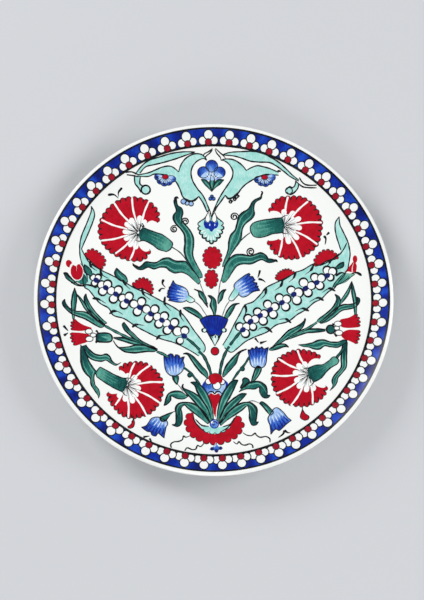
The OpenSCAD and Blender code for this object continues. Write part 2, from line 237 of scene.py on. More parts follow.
def stroke(motif, colour, points, width=0.8, ends=(0.35, 0.35), level=LINE, closed=False, raw=False):
    """One brush stroke: a ribbon with a domed top. ends are its two ends' shares of the full width, and
    raw points are taken as they are, not smoothed."""
    if colour == "ink":
        width = 1.35 * width + 0.14
    c = [np.array(p, float) for p in points] if raw else smooth(points, 0.7, closed)
    c = [p for i, p in enumerate(c) if i == 0 or np.linalg.norm(p - c[i - 1]) > 0.05]
    n = len(c)
    if n < 2:
        return
    wobble = rng.uniform(0, 6.28)
    out = coat(motif, colour)
    base = len(out["v"])
    for i, p in enumerate(c):
        before = c[i - 1] if (i or closed) else c[0]
        after = c[(i + 1) % n] if (i < n - 1 or closed) else c[-1]
        d = after - before
        d = d / (np.linalg.norm(d) + 1e-9)
        side = np.array((-d[1], d[0]))
        share = 1.0 if closed else swell(i / (n - 1), ends)
        half = 0.5 * width * share * (1 + 0.12 * math.sin(0.55 * i + wobble)) + 0.04
        for off, height in ((half, -ROOT), (0.85 * half, 0.8 * level), (0, level),
                            (-0.85 * half, 0.8 * level), (-half, -ROOT)):
            q = p + off * side
            out["v"].append((q[0], q[1], face(q[0], q[1]) + height))
            out["tone"].append(0.35 + 0.3 * share)
    last = n if closed else n - 1
    for i in range(last):
        a, b = base + 5 * i, base + 5 * ((i + 1) % n)
        for k in range(5):
            j = (k + 1) % 5
            out["f"].append((a + k, a + j, b + j, b + k))
    if not closed:
        out["f"].append(tuple(base + k for k in range(4, -1, -1)))
        out["f"].append(tuple(base + 5 * (n - 1) + k for k in range(5)))


def spot(motif, colour, x, y, r, level=LINE, tone=0.5, edge=None, **shape):
    """A round dab, with a dark ring round it if edge is a width."""
    ring = disc(x, y, r, **shape)
    fill(motif, colour, ring, level=level, tone=tone, grid=max(1.0, r * 0.7))
    if edge:
        stroke(motif, "ink", ring, edge, closed=True, raw=True, level=level + 0.03)


def outlined(motif, colour, ring, grade=None, width=0.8, level=FILL, tone=0.5):
    """A patch of colour with a contour line round it."""
    fill(motif, colour, ring, grade, level, tone)
    stroke(motif, "ink", ring, width, closed=True, raw=True)


def between(left, right, share, start=0.0, stop=1.0, count=24):
    """The line a share of the way from the left edge to the right one, from start to stop along it."""
    a, b = even(left, count), even(right, count)
    first, last = int(start * (count - 1)), int(stop * (count - 1))
    return [a[i] * (1 - share) + b[i] * share for i in range(first, last + 1)]


def leaf(motif, left, right, dark=True, streaks=3, width=0.8, colour="green", level=FILL):
    """A green leaf between two edges that both run from the same end, with streaks along it."""
    ring = smooth(left) + smooth(right)[::-1]
    tip, end = np.array(left[0], float), np.array(left[-1], float)
    fill(motif, colour, ring, (tip, tip + 1.3 * (end - tip)), level)
    lift = level - FILL
    for k in range(streaks):
        share = (k + 0.8) / (streaks + 0.6)
        start = 0.16 + 0.14 * rng.random()
        stop = 0.78 + 0.16 * rng.random()
        tint = "mint" if k % 2 == (0 if dark else 1) else "deep"
        stroke(motif, tint, between(left, right, share, start, stop), 0.8, (0.1, 0.1), OVER + lift, raw=True)
    stroke(motif, "ink", left, width * 1.15, (0.6, 0.25), LINE + lift)
    stroke(motif, "ink", right, width * 0.85, (0.6, 0.25), LINE + lift)
    if np.linalg.norm(end - right[-1]) > 0.8:
        stroke(motif, "ink", [end, np.array(right[-1], float)], 0.6 * width, (0.8, 0.8), LINE + lift)


def spiral(motif, x, y, r, turns=1.6, start=0.0, way=1, width=0.8):
    """A tendril coiled up to a thick end."""
    path = []
    count = int(18 * turns)
    for k in range(count + 1):
        t = k / count
        a = math.radians(start) + way * 2 * math.pi * turns * t
        reach = r * (1 - 0.8 * t)
        path.append((x + reach * math.cos(a), y + reach * math.sin(a)))
    stroke(motif, "ink", path, width, (0.7, 1.0), raw=True)


def stem(motif, points, width=1.6, core="deep"):
    """A stalk: a dark line with a thinner green one along it."""
    stroke(motif, "ink", points, 0.8 * width, (0.8, 0.8), LINE - 0.03)
    stroke(motif, core, points, 0.45 * width, (0.8, 0.8), LINE + 0.01)


# ---------- flowers ----------

TOOTH_DEPTH = 2.5      # how deep a carnation's edge is scalloped
HALF_TOOTH_DEPTH = 1.9
PINK_TOOTH_DEPTH = 2.2
CLAW_HALF = 2.2        # half the width of a white claw at its end
CLAW_NECK = 1.3        # half its width halfway down
VEIN_WIDTH = 1.6
DARK_OUT = 0.45        # the dark disc of a blossom's petal is shifted away from its heart by this
LIGHT_IN = 0.2         # and the white disc on it is shifted towards the heart
TICK_WIDTH = 1.8

def carnation(motif, hub, edge, first, last, veins, lobes, count=27):
    """A red fan with white veins, white claws round its hub and a finely scalloped edge."""
    hub = np.array(hub, float)
    rim = scallops(edge, count, TOOTH_DEPTH, hub)
    ring = rim + smooth(last)[1:] + [hub] + smooth(first)[:-1]
    fill(motif, "red", ring)
    stroke(motif, "ink", rim, 0.35, (0.6, 0.6), raw=True)
    for i in range(BUMP_STEPS, len(rim) - 1, BUMP_STEPS):
        inward = (hub - rim[i]) / np.linalg.norm(hub - rim[i])
        stroke(motif, "ink", [rim[i] - 1.7 * inward, rim[i] + 1.4 * inward], 0.8, (0.9, 0.1), LINE + 0.01)
    heart = [hub + 0.8 * (np.array(p, float) - hub) for p in lobes]
    fill(motif, "white", smooth([first[0]] + heart + [last[-1]]) + [hub], level=OVER)
    for p in lobes:
        p = np.array(p, float)
        d = p - hub
        length = np.linalg.norm(d)
        d = d / length
        side = np.array((-d[1], d[0]))
        tip = p + 2.0 * d
        waist = hub + 0.5 * length * d
        claw = [hub + 2 * d, waist + CLAW_NECK * side, p + CLAW_HALF * side, tip,
                p - CLAW_HALF * side, waist - CLAW_NECK * side]
        fill(motif, "white", round_loop(claw), level=OVER + 0.02)
        for s in (-0.5, 0.5):
            stroke(motif, "ink", [hub + d, hub + 0.78 * length * d + s * 2.6 * side], 0.45, None, LINE)
    for v in veins:
        v = hub + 1.03 * (np.array(v, float) - hub)
        d = v - hub
        bend = np.array((-d[1], d[0])) * 0.03
        vein = [hub + 0.3 * d, hub + 0.65 * d + bend, v]
        stroke(motif, "white", vein, VEIN_WIDTH, (0.5, 0.9), OVER + 0.07)
        for s in (-1, 1):
            n = 0.9 * s * np.array((-d[1], d[0])) / np.linalg.norm(d)
            stroke(motif, "ink", [hub + 0.1 * d, hub + 0.46 * d + bend + n], 0.42, None, LINE)


def calyx(motif, top, end, bottom, mouth, colour="green"):
    """The fluted green tube under a flower, darkest at its mouth."""
    ring = loop(top, end, bottom, mouth)
    fill(motif, colour, ring, (top[0], end[len(end) // 2]), OVER + 0.1)
    low = bottom[::-1]
    axis = np.mean(np.array(mouth, float), 0) - np.mean(np.array(end, float), 0)
    axis = axis / np.linalg.norm(axis)
    if colour == "green":
        for k in range(8):
            share = (k + 0.8) / 8.6
            start, stop = 0.22 + 0.2 * rng.random(), 0.86 + 0.1 * rng.random()
            stroke(motif, ("mint", "deep")[k % 2], between(top, low, share, start, stop), 0.6, (0.1, 0.1),
                   OVER + 0.12, raw=True)
        for k in range(7):
            share = (k + 0.9) / 7.8
            stroke(motif, "deep", between(top, low, share, 0.0, 0.4 + 0.3 * rng.random()), 1.9, None,
                   OVER + 0.12, raw=True)
        for k in range(4):
            share = (k + 0.5) / 4
            a, b = between(top, low, share, 0.0, 0.12)[0], np.mean(np.array(mouth, float), 0)
            stroke(motif, "ink", [a, a + 0.6 * (b - a)], 0.6, None, LINE + 0.09)
        for corner in (top[0], bottom[-1]):
            corner = np.array(corner, float)
            apart = corner - np.mean(np.array(mouth, float), 0)
            apart = apart / (np.linalg.norm(apart) + 1e-9)
            horn = [corner - 0.5 * axis, corner + 2.4 * axis + 1.3 * apart, corner + 5 * axis + 1.2 * apart]
            stroke(motif, "ink", horn, 0.8, None, LINE + 0.09)
    for side in (top, end, bottom):
        stroke(motif, "ink", side, 0.75 if colour == "green" else 0.55, (0.8, 0.8), LINE + 0.09)


def tulip(motif, ring, tips, foot, mouth):
    """A blue bell: dark at the tips, pale at the foot, with fine streaks along it."""
    fill(motif, "sky", ring, (mouth, foot))
    foot, mouth = np.array(foot, float), np.array(mouth, float)
    for k, tip in enumerate(even(tips, 6)):
        d = foot + 0.4 * (tip - mouth) - tip
        stroke(motif, "cobalt", [tip - 0.04 * d, tip + (0.34 + 0.1 * rng.random()) * d], 2.3, None, OVER)
        stroke(motif, "navy", [tip - 0.07 * d, tip + 0.2 * d], 1.5, None, OVER + 0.01)
    for k, tip in enumerate(even(tips, 9)):
        d = foot + 0.55 * (tip - mouth) - tip
        tint, start, stop = (("pale", 0.4, 0.9), ("cobalt", 0.1, 0.6))[k % 2]
        start += 0.16 * rng.random()
        stroke(motif, tint, [tip + start * d, tip + stop * d], (0.75, 0.3)[k % 2], (0.1, 0.1), OVER + 0.015)
    stroke(motif, "ink", ring, 0.5, closed=True, raw=True)


def chain_blossom(motif, x, y, petals, r=3.3):
    """White petals with heavy dark crescents on their far side, about a dark blue oval heart."""
    heart = np.array((x, y), float)
    for k, p in enumerate(petals):
        reach = p[2] if len(p) > 2 else r
        rise = 0.05 * k
        middle = np.array(p[:2], float)
        away = (middle - heart) / np.linalg.norm(middle - heart)
        dark = middle + DARK_OUT * away
        light = middle - LIGHT_IN * away
        fill(motif, "ink", disc(*dark, reach + 0.7), level=OVER + 0.01 + rise)
        fill(motif, "white", disc(*light, reach - 0.4), level=OVER + 0.035 + rise)
    fill(motif, "navy", disc(x, y, 2.6, squash=0.84, turn=-35 if x < 0 else 35), level=OVER + 0.2)


def half_carnation(motif, edge, base, count=9):
    """A red scalloped half flower that sits on a leaf."""
    middle = np.mean(np.array(base, float), 0)
    rim = scallops(edge, count, HALF_TOOTH_DEPTH, middle)
    fill(motif, "red", rim + smooth(base)[1:-1], level=OVER + 0.01)
    stroke(motif, "ink", rim, 0.4, (0.6, 0.6), LINE + 0.02, raw=True)
    stroke(motif, "ink", base, 0.7, (0.5, 0.5), LINE + 0.02)


def ticks(motif, *paths):
    """Dark strokes that start thick and run out thin."""
    for p in paths:
        stroke(motif, "ink", p, TICK_WIDTH, None)


def barbs(motif, *paths):
    """Hooked tips along a leaf's edge: a dark beak, then a thin line that curls inside."""
    for p in paths:
        line = even(smooth(p), 20)
        line = [line[0] + 0.35 * (line[0] - line[3])] + list(line)
        stroke(motif, "ink", line, 0.45, (0.9, 0.25), raw=True)
        stroke(motif, "ink", line[:13], 1.6, (0.35, 0.05), LINE + 0.02, raw=True)


# ---------- carnations ----------

carnation("carnation_upper_left", (-63, 57),
          pts(-46.5, 65.5, -46.5, 74, -51, 81, -58, 85.5, -68, 87.5, -77, 86, -85, 81, -91.5, 74, -95.5, 65,
              -96, 56, -92, 46.5, -85, 39.5, -76, 35, -66, 33, -58, 34.5, -52.8, 42),
          pts(-59.5, 62, -57, 64.5, -52, 67.5, -46.5, 65.5), pts(-52.8, 42, -57, 40.5, -61, 43, -64, 48),
          pts(-54.5, 83.5, -68.5, 87, -83, 82, -93.5, 68, -93.5, 50.5, -82, 39.5, -70, 34),
          pts(-58, 66.5, -62, 70, -69, 68, -73, 64.5, -74.5, 58, -73.5, 52, -70, 46.5, -65.5, 44.5))
calyx("calyx_upper_left", pts(-59.5, 61.5, -51, 58, -43, 55, -37.5, 51),
      pts(-37.5, 51, -34.5, 47.5, -36, 43, -39.5, 40.5),
      pts(-39.5, 40.5, -46, 42.5, -52, 47, -58, 50, -61.5, 50), pts(-61.5, 50, -63, 56, -59.5, 61.5))
ticks("calyx_upper_left", pts(-58.5, 62, -60, 65.5))
stem("calyx_upper_left", pts(-36, 45, -28, 39.5, -22.5, 32.5, -18, 24), 0.8)

carnation("carnation_upper_right", (60, 63),
          pts(45.5, 49.5, 48.5, 43.5, 53.5, 37.5, 62, 34.2, 71, 34.7, 80, 39, 87.5, 46, 90.5, 56,
              91.5, 65, 89, 74, 83, 82, 75, 87, 66, 87.5, 57, 86.5, 51, 81.5, 47, 74.5)[::-1],
          pts(59, 71, 55.5, 74.5, 51, 75.5, 47, 74.5), pts(45.5, 49.5, 50, 49.5, 54, 50.5, 56, 52),
          pts(63.5, 87, 80, 83, 91, 65, 87, 46.5, 73.5, 35, 55, 37),
          pts(60, 75, 67.5, 73.5, 72.5, 68.5, 73, 60.5, 70.5, 52, 63.5, 48.5, 57, 52))
calyx("calyx_upper_right", pts(58.5, 69.5, 50, 68.5, 40, 67, 34, 65),
      pts(34, 65, 31.5, 61.5, 32, 57, 34, 53.5), pts(34, 53.5, 37, 52.5, 43, 53, 50, 55.5, 58.5, 56.5),
      pts(58.5, 56.5, 60.5, 63, 58.5, 69.5))
stem("calyx_upper_right", pts(31, 56.5, 26, 52.5, 20, 46, 15, 39), 0.8)

carnation("carnation_lower_left", (-73, -73),
          pts(-79.5, -60, -75, -56, -67, -54.3, -58, -55, -50.5, -60, -45.5, -66, -43, -74, -44, -82,
              -47.5, -90, -53, -96, -60, -99, -68, -100.5, -76, -98.5, -82, -93, -87, -86,
              -88.5, -79)[::-1],
          pts(-76, -78.5, -80, -80, -85, -80.5, -88.5, -79), pts(-79.5, -60, -76, -61.5, -73.5, -64),
          pts(-66.5, -55, -54, -57, -43.5, -71, -46, -88, -56.5, -98.5, -71.5, -100, -82, -89.5),
          pts(-79, -82, -74, -85, -68, -86.5, -65, -81.5, -63, -76, -63, -70.5, -66, -66.5, -72, -65))
calyx("calyx_lower_left", pts(-73, -67.5, -77, -67, -84, -64, -91, -60, -95, -58),
      pts(-95, -58, -98, -62.5, -97.5, -66), pts(-97.5, -66, -92, -70, -84, -75, -76, -79),
      pts(-76, -79, -72.5, -73, -73, -67.5))

carnation("carnation_lower_right", (79, -65),
          pts(88, -51.8, 86, -48.5, 78, -45.6, 69, -44.8, 60, -47.8, 53, -52.5, 49, -60, 48, -69,
              49.5, -77, 54, -84, 60, -89, 68, -91, 77, -91, 85, -87.5, 91, -82, 93, -75),
          pts(77, -57.5, 79.5, -54, 83, -51.8, 88, -51.8), pts(93, -75, 90, -76.5, 85, -75, 82, -72),
          pts(69.5, -45.2, 54, -52, 48, -65.5, 52, -80.5, 63.5, -90.5, 81, -89.5),
          pts(75, -56, 70, -57.5, 67, -63.5, 68, -70, 70, -75, 76, -78, 82, -77))
calyx("calyx_lower_right", pts(77.5, -60, 84, -57.5, 90, -57, 95, -54, 98, -51),
      pts(98, -51, 100.5, -50.5, 103.5, -53.5, 102, -56.5),
      pts(102, -56.5, 96, -60, 92, -64, 88, -68.5, 82, -71.5), pts(82, -71.5, 78, -66, 77.5, -60))
stem("calyx_lower_right", pts(101, -52, 105, -47, 108, -43), 2.2)
ticks("carnation_upper_left", pts(-89, 89.5, -84, 90, -80, 87), pts(-77, 96, -80, 92, -80, 88.5))
ticks("carnation_upper_right", pts(98, 56.5, 95.5, 54), pts(93.5, 53.5, 95, 51, 94.5, 47, 94, 46))
left_drop = loop(pts(-67.2, -101.5, -66.2, -105, -67.5, -108.6, -70.5, -109.7, -72, -108.4),
                 pts(-72, -108.4, -69.5, -106.5, -68.3, -104.5, -67.2, -101.5))
right_drop = loop(pts(72.5, -94.5, 74.5, -98, 77.6, -100.5, 76.8, -103, 74, -103.9),
                  pts(74, -103.9, 71, -102, 70.6, -99.5, 72.5, -94.5))
outlined("carnation_lower_left", "red", left_drop, width=0.4)
outlined("carnation_lower_right", "red", right_drop, width=0.4)
stroke("carnation_lower_left", "ink", pts(-67.6, -98.6, -67.2, -101.5, -68.8, -104.5), 0.5)
stroke("carnation_lower_right", "ink", pts(72.2, -92, 72.5, -94.5, 71.6, -97.5), 0.5)

# ---------- feather leaves ----------

left_upper = pts(-111, 43, -108, 37, -104, 31, -95, 25, -86, 20.5, -76, 15, -66, 9, -55, 4, -45, -1.5,
                 -33, -8, -25, -15, -17, -27, -9, -38, -7.5, -43, -9, -46)
left_lower = pts(-110, 29, -109, 12, -104, 7, -96, -3, -88, -8, -84, -14, -75, -17, -66, -23, -58, -27.5,
                 -45, -34, -35, -37, -28, -40, -19, -45, -13, -49)
left_tip = pts(-110, 29, -112, 36, -112.5, 45, -111, 54, -107, 64, -103, 75, -103, 79.5)
left_tip_back = pts(-103, 79.5, -100.5, 75, -100.5, 70, -104, 60, -109, 48, -111, 43)
fill("feather_leaf_left", "turquoise", loop(left_lower[::-1], left_tip, left_tip_back, left_upper))
for side in (left_upper, left_lower, left_tip, left_tip_back):
    stroke("feather_leaf_left", "ink", side, 0.75, (0.7, 0.7))
barbs("feather_leaf_left", pts(-87, -12.5, -84, -10.5, -80, -11, -76, -13.5),
      pts(-68, -24, -65, -22, -58, -23), pts(-48, -34.5, -45, -31.5, -40, -31.5),
      pts(-104, 32, -103, 28, -98, 24), pts(-95, 26, -94, 21, -88, 17.5), pts(-76, 16, -74, 12, -70, 8),
      pts(-60, 9, -59, 4, -53, -1), pts(-41, 1, -41, -5, -36, -10.5), pts(-28, -10, -28, -15, -25, -20),
      pts(-101, 0.5, -97, 0, -90, -4))

right_upper = pts(7, -40, 12, -32, 17, -22, 22, -13, 26, -6, 33, -3, 40, 4, 44, 9, 55, 14.5, 66, 20,
                  69, 22, 75, 24, 84, 29, 90, 28, 98, 32, 106, 38, 112, 46)
right_lower = pts(8.5, -42, 14, -46, 20, -42, 26, -37, 34, -33, 44, -29, 52, -23, 62, -20, 70, -14, 77, -10,
                  84, -4, 90, -1, 96, 5, 101, 8, 106, 15, 110, 20, 113, 25)
right_tip = pts(113, 25, 115, 36, 114.5, 43, 113, 49, 109, 58, 107, 63, 106.5, 69.5)
right_tip_back = pts(106.5, 69.5, 103.5, 65, 103, 60, 104, 53, 107.5, 41)
fill("feather_leaf_right", "turquoise",
     loop(right_upper[:-1] + [(107.5, 41)], right_tip_back[::-1], right_tip[::-1], right_lower[::-1]))
for side in (right_upper[:-1], right_lower, right_tip, right_tip_back,
             pts(112.5, 47, 110, 42, 106, 37, 98, 31)):
    stroke("feather_leaf_right", "ink", side, 0.75, (0.7, 0.7))
barbs("feather_leaf_right", pts(26, -6, 27, -11, 24, -18), pts(44, 9, 43, 3, 39, -1),
      pts(58, 15, 56, 10, 51, 6.5), pts(69, 22, 67, 17, 63, 13.5), pts(84, 28, 82, 24, 77, 20),
      pts(99, 33, 97, 29, 95, 27), pts(48, -29, 44, -25.5, 39, -25.5, 36, -28),
      pts(64, -21, 60, -18, 54, -18.5), pts(79, -11, 74, -9, 68, -11.5), pts(91.5, -2, 87, 0, 80, -3.5),
      pts(101.5, 6, 97, 8, 91, 4.5))

left_chain = [(-98.5, 16, [(-101, 18.5, 2.6), (-97, 18.5, 2.4), (-100, 13.5, 2.4)]),
              (-90.5, 9.5, [(-94, 12), (-89, 12.5), (-93, 6.5)]),
              (-82, 4, [(-86, 7), (-80, 7.5), (-84, 0)]), (-73, -2, [(-76.5, 0.5), (-71, 2), (-75, -5)]),
              (-62, -7.5, [(-67, -4.5), (-60.5, -2.5), (-64, -11)]),
              (-53, -13, [(-56.5, -9), (-49.5, -9), (-54.5, -16.5)]),
              (-43.5, -18.5, [(-47.5, -15.5), (-41.5, -15), (-46, -21.5)]),
              (-36, -24.5, [(-40, -21), (-33, -20.5), (-39, -27)]),
              (-25, -32, [(-30.5, -28, 3.8), (-24.5, -27.5), (-28.5, -36, 2.8)])]
right_chain = [(95.5, 19, [(95.5, 23.5), (100, 22.5), (98, 17.5, 2.8)]),
               (86.5, 13, [(85, 17.5), (90.5, 17), (89, 10.5)]),
               (77, 8, [(75.5, 13, 3.6), (82, 10.5), (79, 4.5)]),
               (67, 3, [(65, 6.5), (71, 4.5, 3.8), (69.5, -2, 3.6)]),
               (57, -4, [(55, 0), (61, -1), (60, -7.5)]),
               (47, -10, [(45, -5.5), (51, -7.5), (49.5, -14)]),
               (38.5, -15, [(36.5, -12), (42, -13.5), (41, -19.5)]),
               (30.5, -20, [(28.5, -17.5), (34.5, -18), (32.5, -24.5, 2.8)]),
               (24, -27, [(21.5, -24.5), (27, -24.5), (26, -30)])]
for motif, chain in (("leaf_blossoms_left", left_chain), ("leaf_blossoms_right", right_chain)):
    for x, y, petals in chain:
        chain_blossom(motif, x, y, petals)
stem("leaf_blossoms_left", pts(-23, -34, -18, -38, -12, -44), 2.4)
stem("leaf_blossoms_right", pts(23, -28, 20, -31, 13, -40), 2.4)

half_carnation("leaf_rosettes_left",
               pts(-108, 37, -106, 41, -102, 42.5, -97, 40, -92, 35, -91.5, 30, -95, 25)[::-1],
               pts(-108, 37, -104, 33, -100, 29, -95, 25))
half_carnation("leaf_rosettes_left", pts(-68.5, 12, -65, 15, -60, 17.5, -54, 15, -51.3, 9, -52, 3.5)[::-1],
               pts(-68.5, 12, -64, 8.5, -59.5, 8.5, -52, 3.5))
half_carnation("leaf_rosettes_right",
               pts(85.5, 27, 85, 32, 89, 38, 95, 41, 101, 39.5, 104.5, 35, 103, 33)[::-1],
               pts(85.5, 27, 90, 28.5, 96, 32, 103, 33))
half_carnation("leaf_rosettes_right", pts(52, 16, 53.5, 20, 58, 23.5, 63, 24.3, 68, 21.5)[::-1],
               pts(52, 16, 57, 14.8, 62, 17.5, 68, 21.5))

# ---------- crown arabesque ----------

for side in (-1, 1):
    motif = "arabesque_left" if side < 0 else "arabesque_right"
    if side < 0:
        lobe_up = pts(-64, 107, -55, 109, -50, 111, -43, 114, -37, 115, -33, 113.5, -29, 110)
        cusp = pts(-29, 110, -27, 116, -23, 121.5, -17, 125, -12, 125.5, -8, 124, -5, 120)
        inner = pts(-5, 120, -8, 121.5, -13, 119.5, -17, 115, -18.5, 109, -17, 102, -13, 95, -9, 90,
                    -6, 84, -3.5, 77)
        strand = pts(-3.5, 77, -5, 75, -8, 82, -12, 88.5)
        under = pts(-12, 88.5, -16, 85, -20, 84.5, -24, 86.5, -26, 89, -28, 95, -31, 101, -35, 105,
                    -40, 107, -44, 108, -50, 108, -55, 106, -64, 106)
        long_up = pts(-66, 107.5, -60, 115, -54, 119.5, -45, 122.5, -35, 125.5, -25, 127, -15, 127)
        long_low = pts(-62, 108.5, -57, 114, -50, 116, -42, 118, -32, 121, -25, 123.5, -15, 127)
        arm_up = pts(-74, 108.8, -69, 109.5, -63, 107.3)
        arm_low = pts(-73, 107, -68, 106.5, -63, 105.5)
        hook_up = pts(-66.5, 106, -66, 100, -63, 96, -61, 92)
        hook_low = pts(-61.5, 106, -62, 100, -60, 98, -58.5, 97)
        bud = (-57, 94.5, 3.8)
    else:
        lobe_up = pts(56, 109, 48, 112.5, 43, 114, 38, 115, 33, 113.5, 28.5, 111)
        cusp = pts(28.5, 111, 26, 114.5, 22, 118, 17, 120.5, 11, 121, 7, 120)
        inner = pts(7, 120, 10, 119.5, 14, 116.5, 17, 111, 16.5, 105, 13, 99, 9, 93, 6, 88, 3, 82, 0, 75)
        strand = pts(0, 75, 1.5, 75.5, 3, 79, 6, 83, 10.5, 89.5)
        under = pts(10.5, 89.5, 13, 86.5, 17, 87.5, 21, 91, 24, 95, 28, 99, 34, 103, 40, 106, 46, 107.5,
                    56, 106.5)
        long_up = pts(8, 124.5, 15, 126.5, 25, 127, 35, 127, 42, 125.5, 48, 122.5, 56, 117.5, 62, 112,
                      68, 106, 73, 102)
        long_low = pts(8, 124.5, 18, 123.5, 25, 121.5, 32, 119, 40, 118, 48, 117.5, 54, 114.5, 60, 110,
                       66, 105, 73, 101)
        arm_up = pts(73.5, 104, 76, 100, 80, 97.5, 88, 97)
        arm_low = pts(70, 101.5, 75, 97, 79, 95.5, 88, 94.8)
        hook_up = pts(70.5, 101, 69.6, 97.5, 67.5, 95.6, 65, 96.6, 62.6, 94)
        hook_low = pts(73, 99, 72, 95, 69, 91.5, 65.4, 89.6, 62.6, 92)
        bud = (64.6, 93, 2.9)
    fill(motif, "turquoise", loop(lobe_up, cusp, inner, strand, under))
    fill(motif, "turquoise", smooth(long_up) + smooth(long_low)[::-1])
    fill(motif, "turquoise", smooth(hook_up) + smooth(hook_low)[::-1])
    fill(motif, "turquoise", disc(*bud))
    stroke(motif, "ink", disc(*bud), 1.1 if side < 0 else 0.7, closed=True, raw=True)
    for path in (lobe_up, cusp, inner, under, arm_up, arm_low, hook_up, hook_low, long_up, long_low, strand):
        stroke(motif, "ink", path, 0.85, (0.6, 0.6))
    stroke(motif, "ink", under[:3] + under[3:5], 1.4, (0.3, 0.3), LINE + 0.01)
for path in (pts(0, 130, -3, 127.5, -7, 125.5, -8, 123.5), pts(0, 129, -2, 126.5, -6, 123, -5, 120.5),
             pts(2.5, 130, 5, 127.5, 9, 124, 11, 121.5), pts(2, 129.5, 3.5, 126, 6.5, 122.5, 7, 120)):
    stroke("crown_flower", "ink", path, 0.7)
for x, y, r in ((-25, 84, 2.2), (-22, 82.5, 1.7), (-18.5, 82, 1.9)):
    spot("arabesque_left", "sky", x, y, r, edge=0.5, tone=0.85)
for x, y, r in ((15, 83.5, 1.8), (18.5, 85.5, 1.5), (20.5, 88, 2)):
    spiral("arabesque_right", x, y, r, 1.3)
stroke("arabesque_right", "ink", pts(55, 110.4, 58, 109.8), 1.2)
for motif, heart, turn in (("arabesque_left", (-40.3, 106.2), -98), ("arabesque_right", (44, 105.4), -82)):
    hx, hy = heart
    for k in (0, 4, 1, 3, 2):
        a = math.radians(turn + 38 * (k - 2))
        out = np.array((math.cos(a), math.sin(a)))
        side = np.array((-out[1], out[0]))
        reach = 8.6 if k in (1, 2, 3) else 9.2
        wide = 2.7
        petal = round_loop([heart + 1.5 * out, heart + 0.55 * reach * out + wide * side,
                            heart + 0.9 * reach * out + 0.8 * wide * side, heart + reach * out,
                            heart + 0.9 * reach * out - 0.8 * wide * side,
                            heart + 0.55 * reach * out - wide * side])
        fill(motif, "sky", petal, (heart + 8.4 * out, heart + 5.0 * out), OVER + 0.01 * k)
        stroke(motif, "navy", [heart + (reach - 0.8) * out, heart + 5.6 * out], 2.4, (0.9, 0.1), OVER + 0.05)
        stroke(motif, "pale", [heart + 6 * out + 0.7 * side, heart + 2.6 * out], 1.1, (0.1, 0.6),
               OVER + 0.06)
        stroke(motif, "ink", petal, 0.35, closed=True, raw=True, level=OVER + 0.06)
    spot(motif, "red", hx, hy - 0.4, 2.5, LINE + 0.03, edge=0.45, squash=0.8)

for x, y, r in ((-8.0, 109.6, 5.0), (5.8, 109.5, 4.9), (-0.8, 115.0, 5.2)):
    middle = np.array((x, y))
    tip = middle + 1.0 * (middle - np.array((-1, 106)))
    fill("crown_flower", "sky", disc(x, y, r), (0.5 * (tip + middle), (-1, 106.5)), FILL + 0.02)
    d = np.array((-1.0, 105.0)) - middle
    d = d / np.linalg.norm(d)
    side = np.array((-d[1], d[0]))
    for k in range(-3, 4):
        start = middle - math.sqrt(r * r - (1.3 * k) ** 2) * 0.88 * d + 1.3 * k * side
        stroke("crown_flower", "cobalt" if k % 2 else "navy", [start, start + (4.2 - 0.5 * abs(k)) * d],
               1.3, None, OVER)
    stroke("crown_flower", "ink", disc(x, y, r), 0.4, closed=True, raw=True)
fill("crown_flower", "sky",
     round_loop(pts(-10, 106, -8, 103.5, -1, 102.5, 6, 103.5, 8.5, 106, 4, 110, -1, 112, -6, 110)),
     ((-1, 117), (-1, 108)), level=FILL + 0.04)
for k in range(6):
    a = math.radians(34 + 22.4 * k)
    out = np.array((math.cos(a), math.sin(a)))
    start = np.array((-1.0, 102.5))
    stroke("crown_flower", "pale" if k % 2 else "white", [start + 3 * out, start + 8 * out], 0.6,
           (0.8, 0.1), OVER + 0.04)
for left, right in ((pts(-10, 103.5, -6, 103, -2, 98, -1, 92.5),
                     pts(-10, 103.5, -7, 99, -4, 96, -1, 92.5)),
                    (pts(9.5, 103, 4, 103, 1, 98, -1, 92.5), pts(9.5, 103, 6, 99, 2, 96, -1, 92.5)),
                    (pts(-2, 107.5, 1, 105, 1.5, 101, -1, 93), pts(-2, 107.5, -2, 104, -3, 99, -1, 93))):
    leaf("crown_flower", left, right, streaks=1, width=0.5)
for x, y, r in ((-0.9, 88.4, 1.3), (-2.1, 86.4, 1.5), (0.4, 86.4, 1.5)):
    spot("crown_flower", "sky", x, y, r, edge=0.4, tone=0.25)

# ---------- pendant palmette ----------

palm_hub = np.array((-2, 61))
palm = scallops(pts(-11.6, 66.5, -12, 61, -10, 55.4, -6, 51.2, -1.6, 48.2, 2.8, 51.2, 6, 55.4, 7.9, 61,
                    7, 67), 11, 2.1, palm_hub)
body = palm + smooth(pts(7, 67, 3.6, 69.6, 1, 74.5))[1:] + smooth(pts(1, 74.5, -1.5, 71, -4, 74.5))[1:]
body += smooth(pts(-4, 74.5, -7, 69.4, -11.6, 66.5))[1:]
fill("pendant_palmette", "turquoise", body)
stroke("pendant_palmette", "ink", palm, 1.0, (0.5, 0.5), raw=True)
for path in (pts(1, 74.5, 3.6, 69.6, 7.4, 66.8), pts(-4, 74.5, -7, 69.4, -12, 66.3)):
    stroke("pendant_palmette", "ink", path, 0.7)
for k in range(9):
    a = math.radians(198 + 18 * k)
    out = np.array((math.cos(a), 1.25 * math.sin(a)))
    stroke("pendant_palmette", "white", [palm_hub + 8.7 * out, palm_hub + 5 * out], 1.3, None, OVER)
fill("pendant_palmette", "cobalt",
     loop(pts(-7.5, 68, -8, 64, -6.5, 60.5, -4, 60, -1.5, 57.5, 1, 60, 3.2, 61, 4.4, 64, 3.5, 68),
          pts(3.5, 68, 2, 65.5, -0.5, 66, -2, 67.5, -3.8, 65.5, -6, 66, -7.5, 68)),
     level=OVER)
for x in (-2.7, 1.5):
    stroke("pendant_palmette", "pale", [(x, 64.5), (x - 0.3, 62.5)], 0.9, (0.3, 0.3), OVER + 0.02)
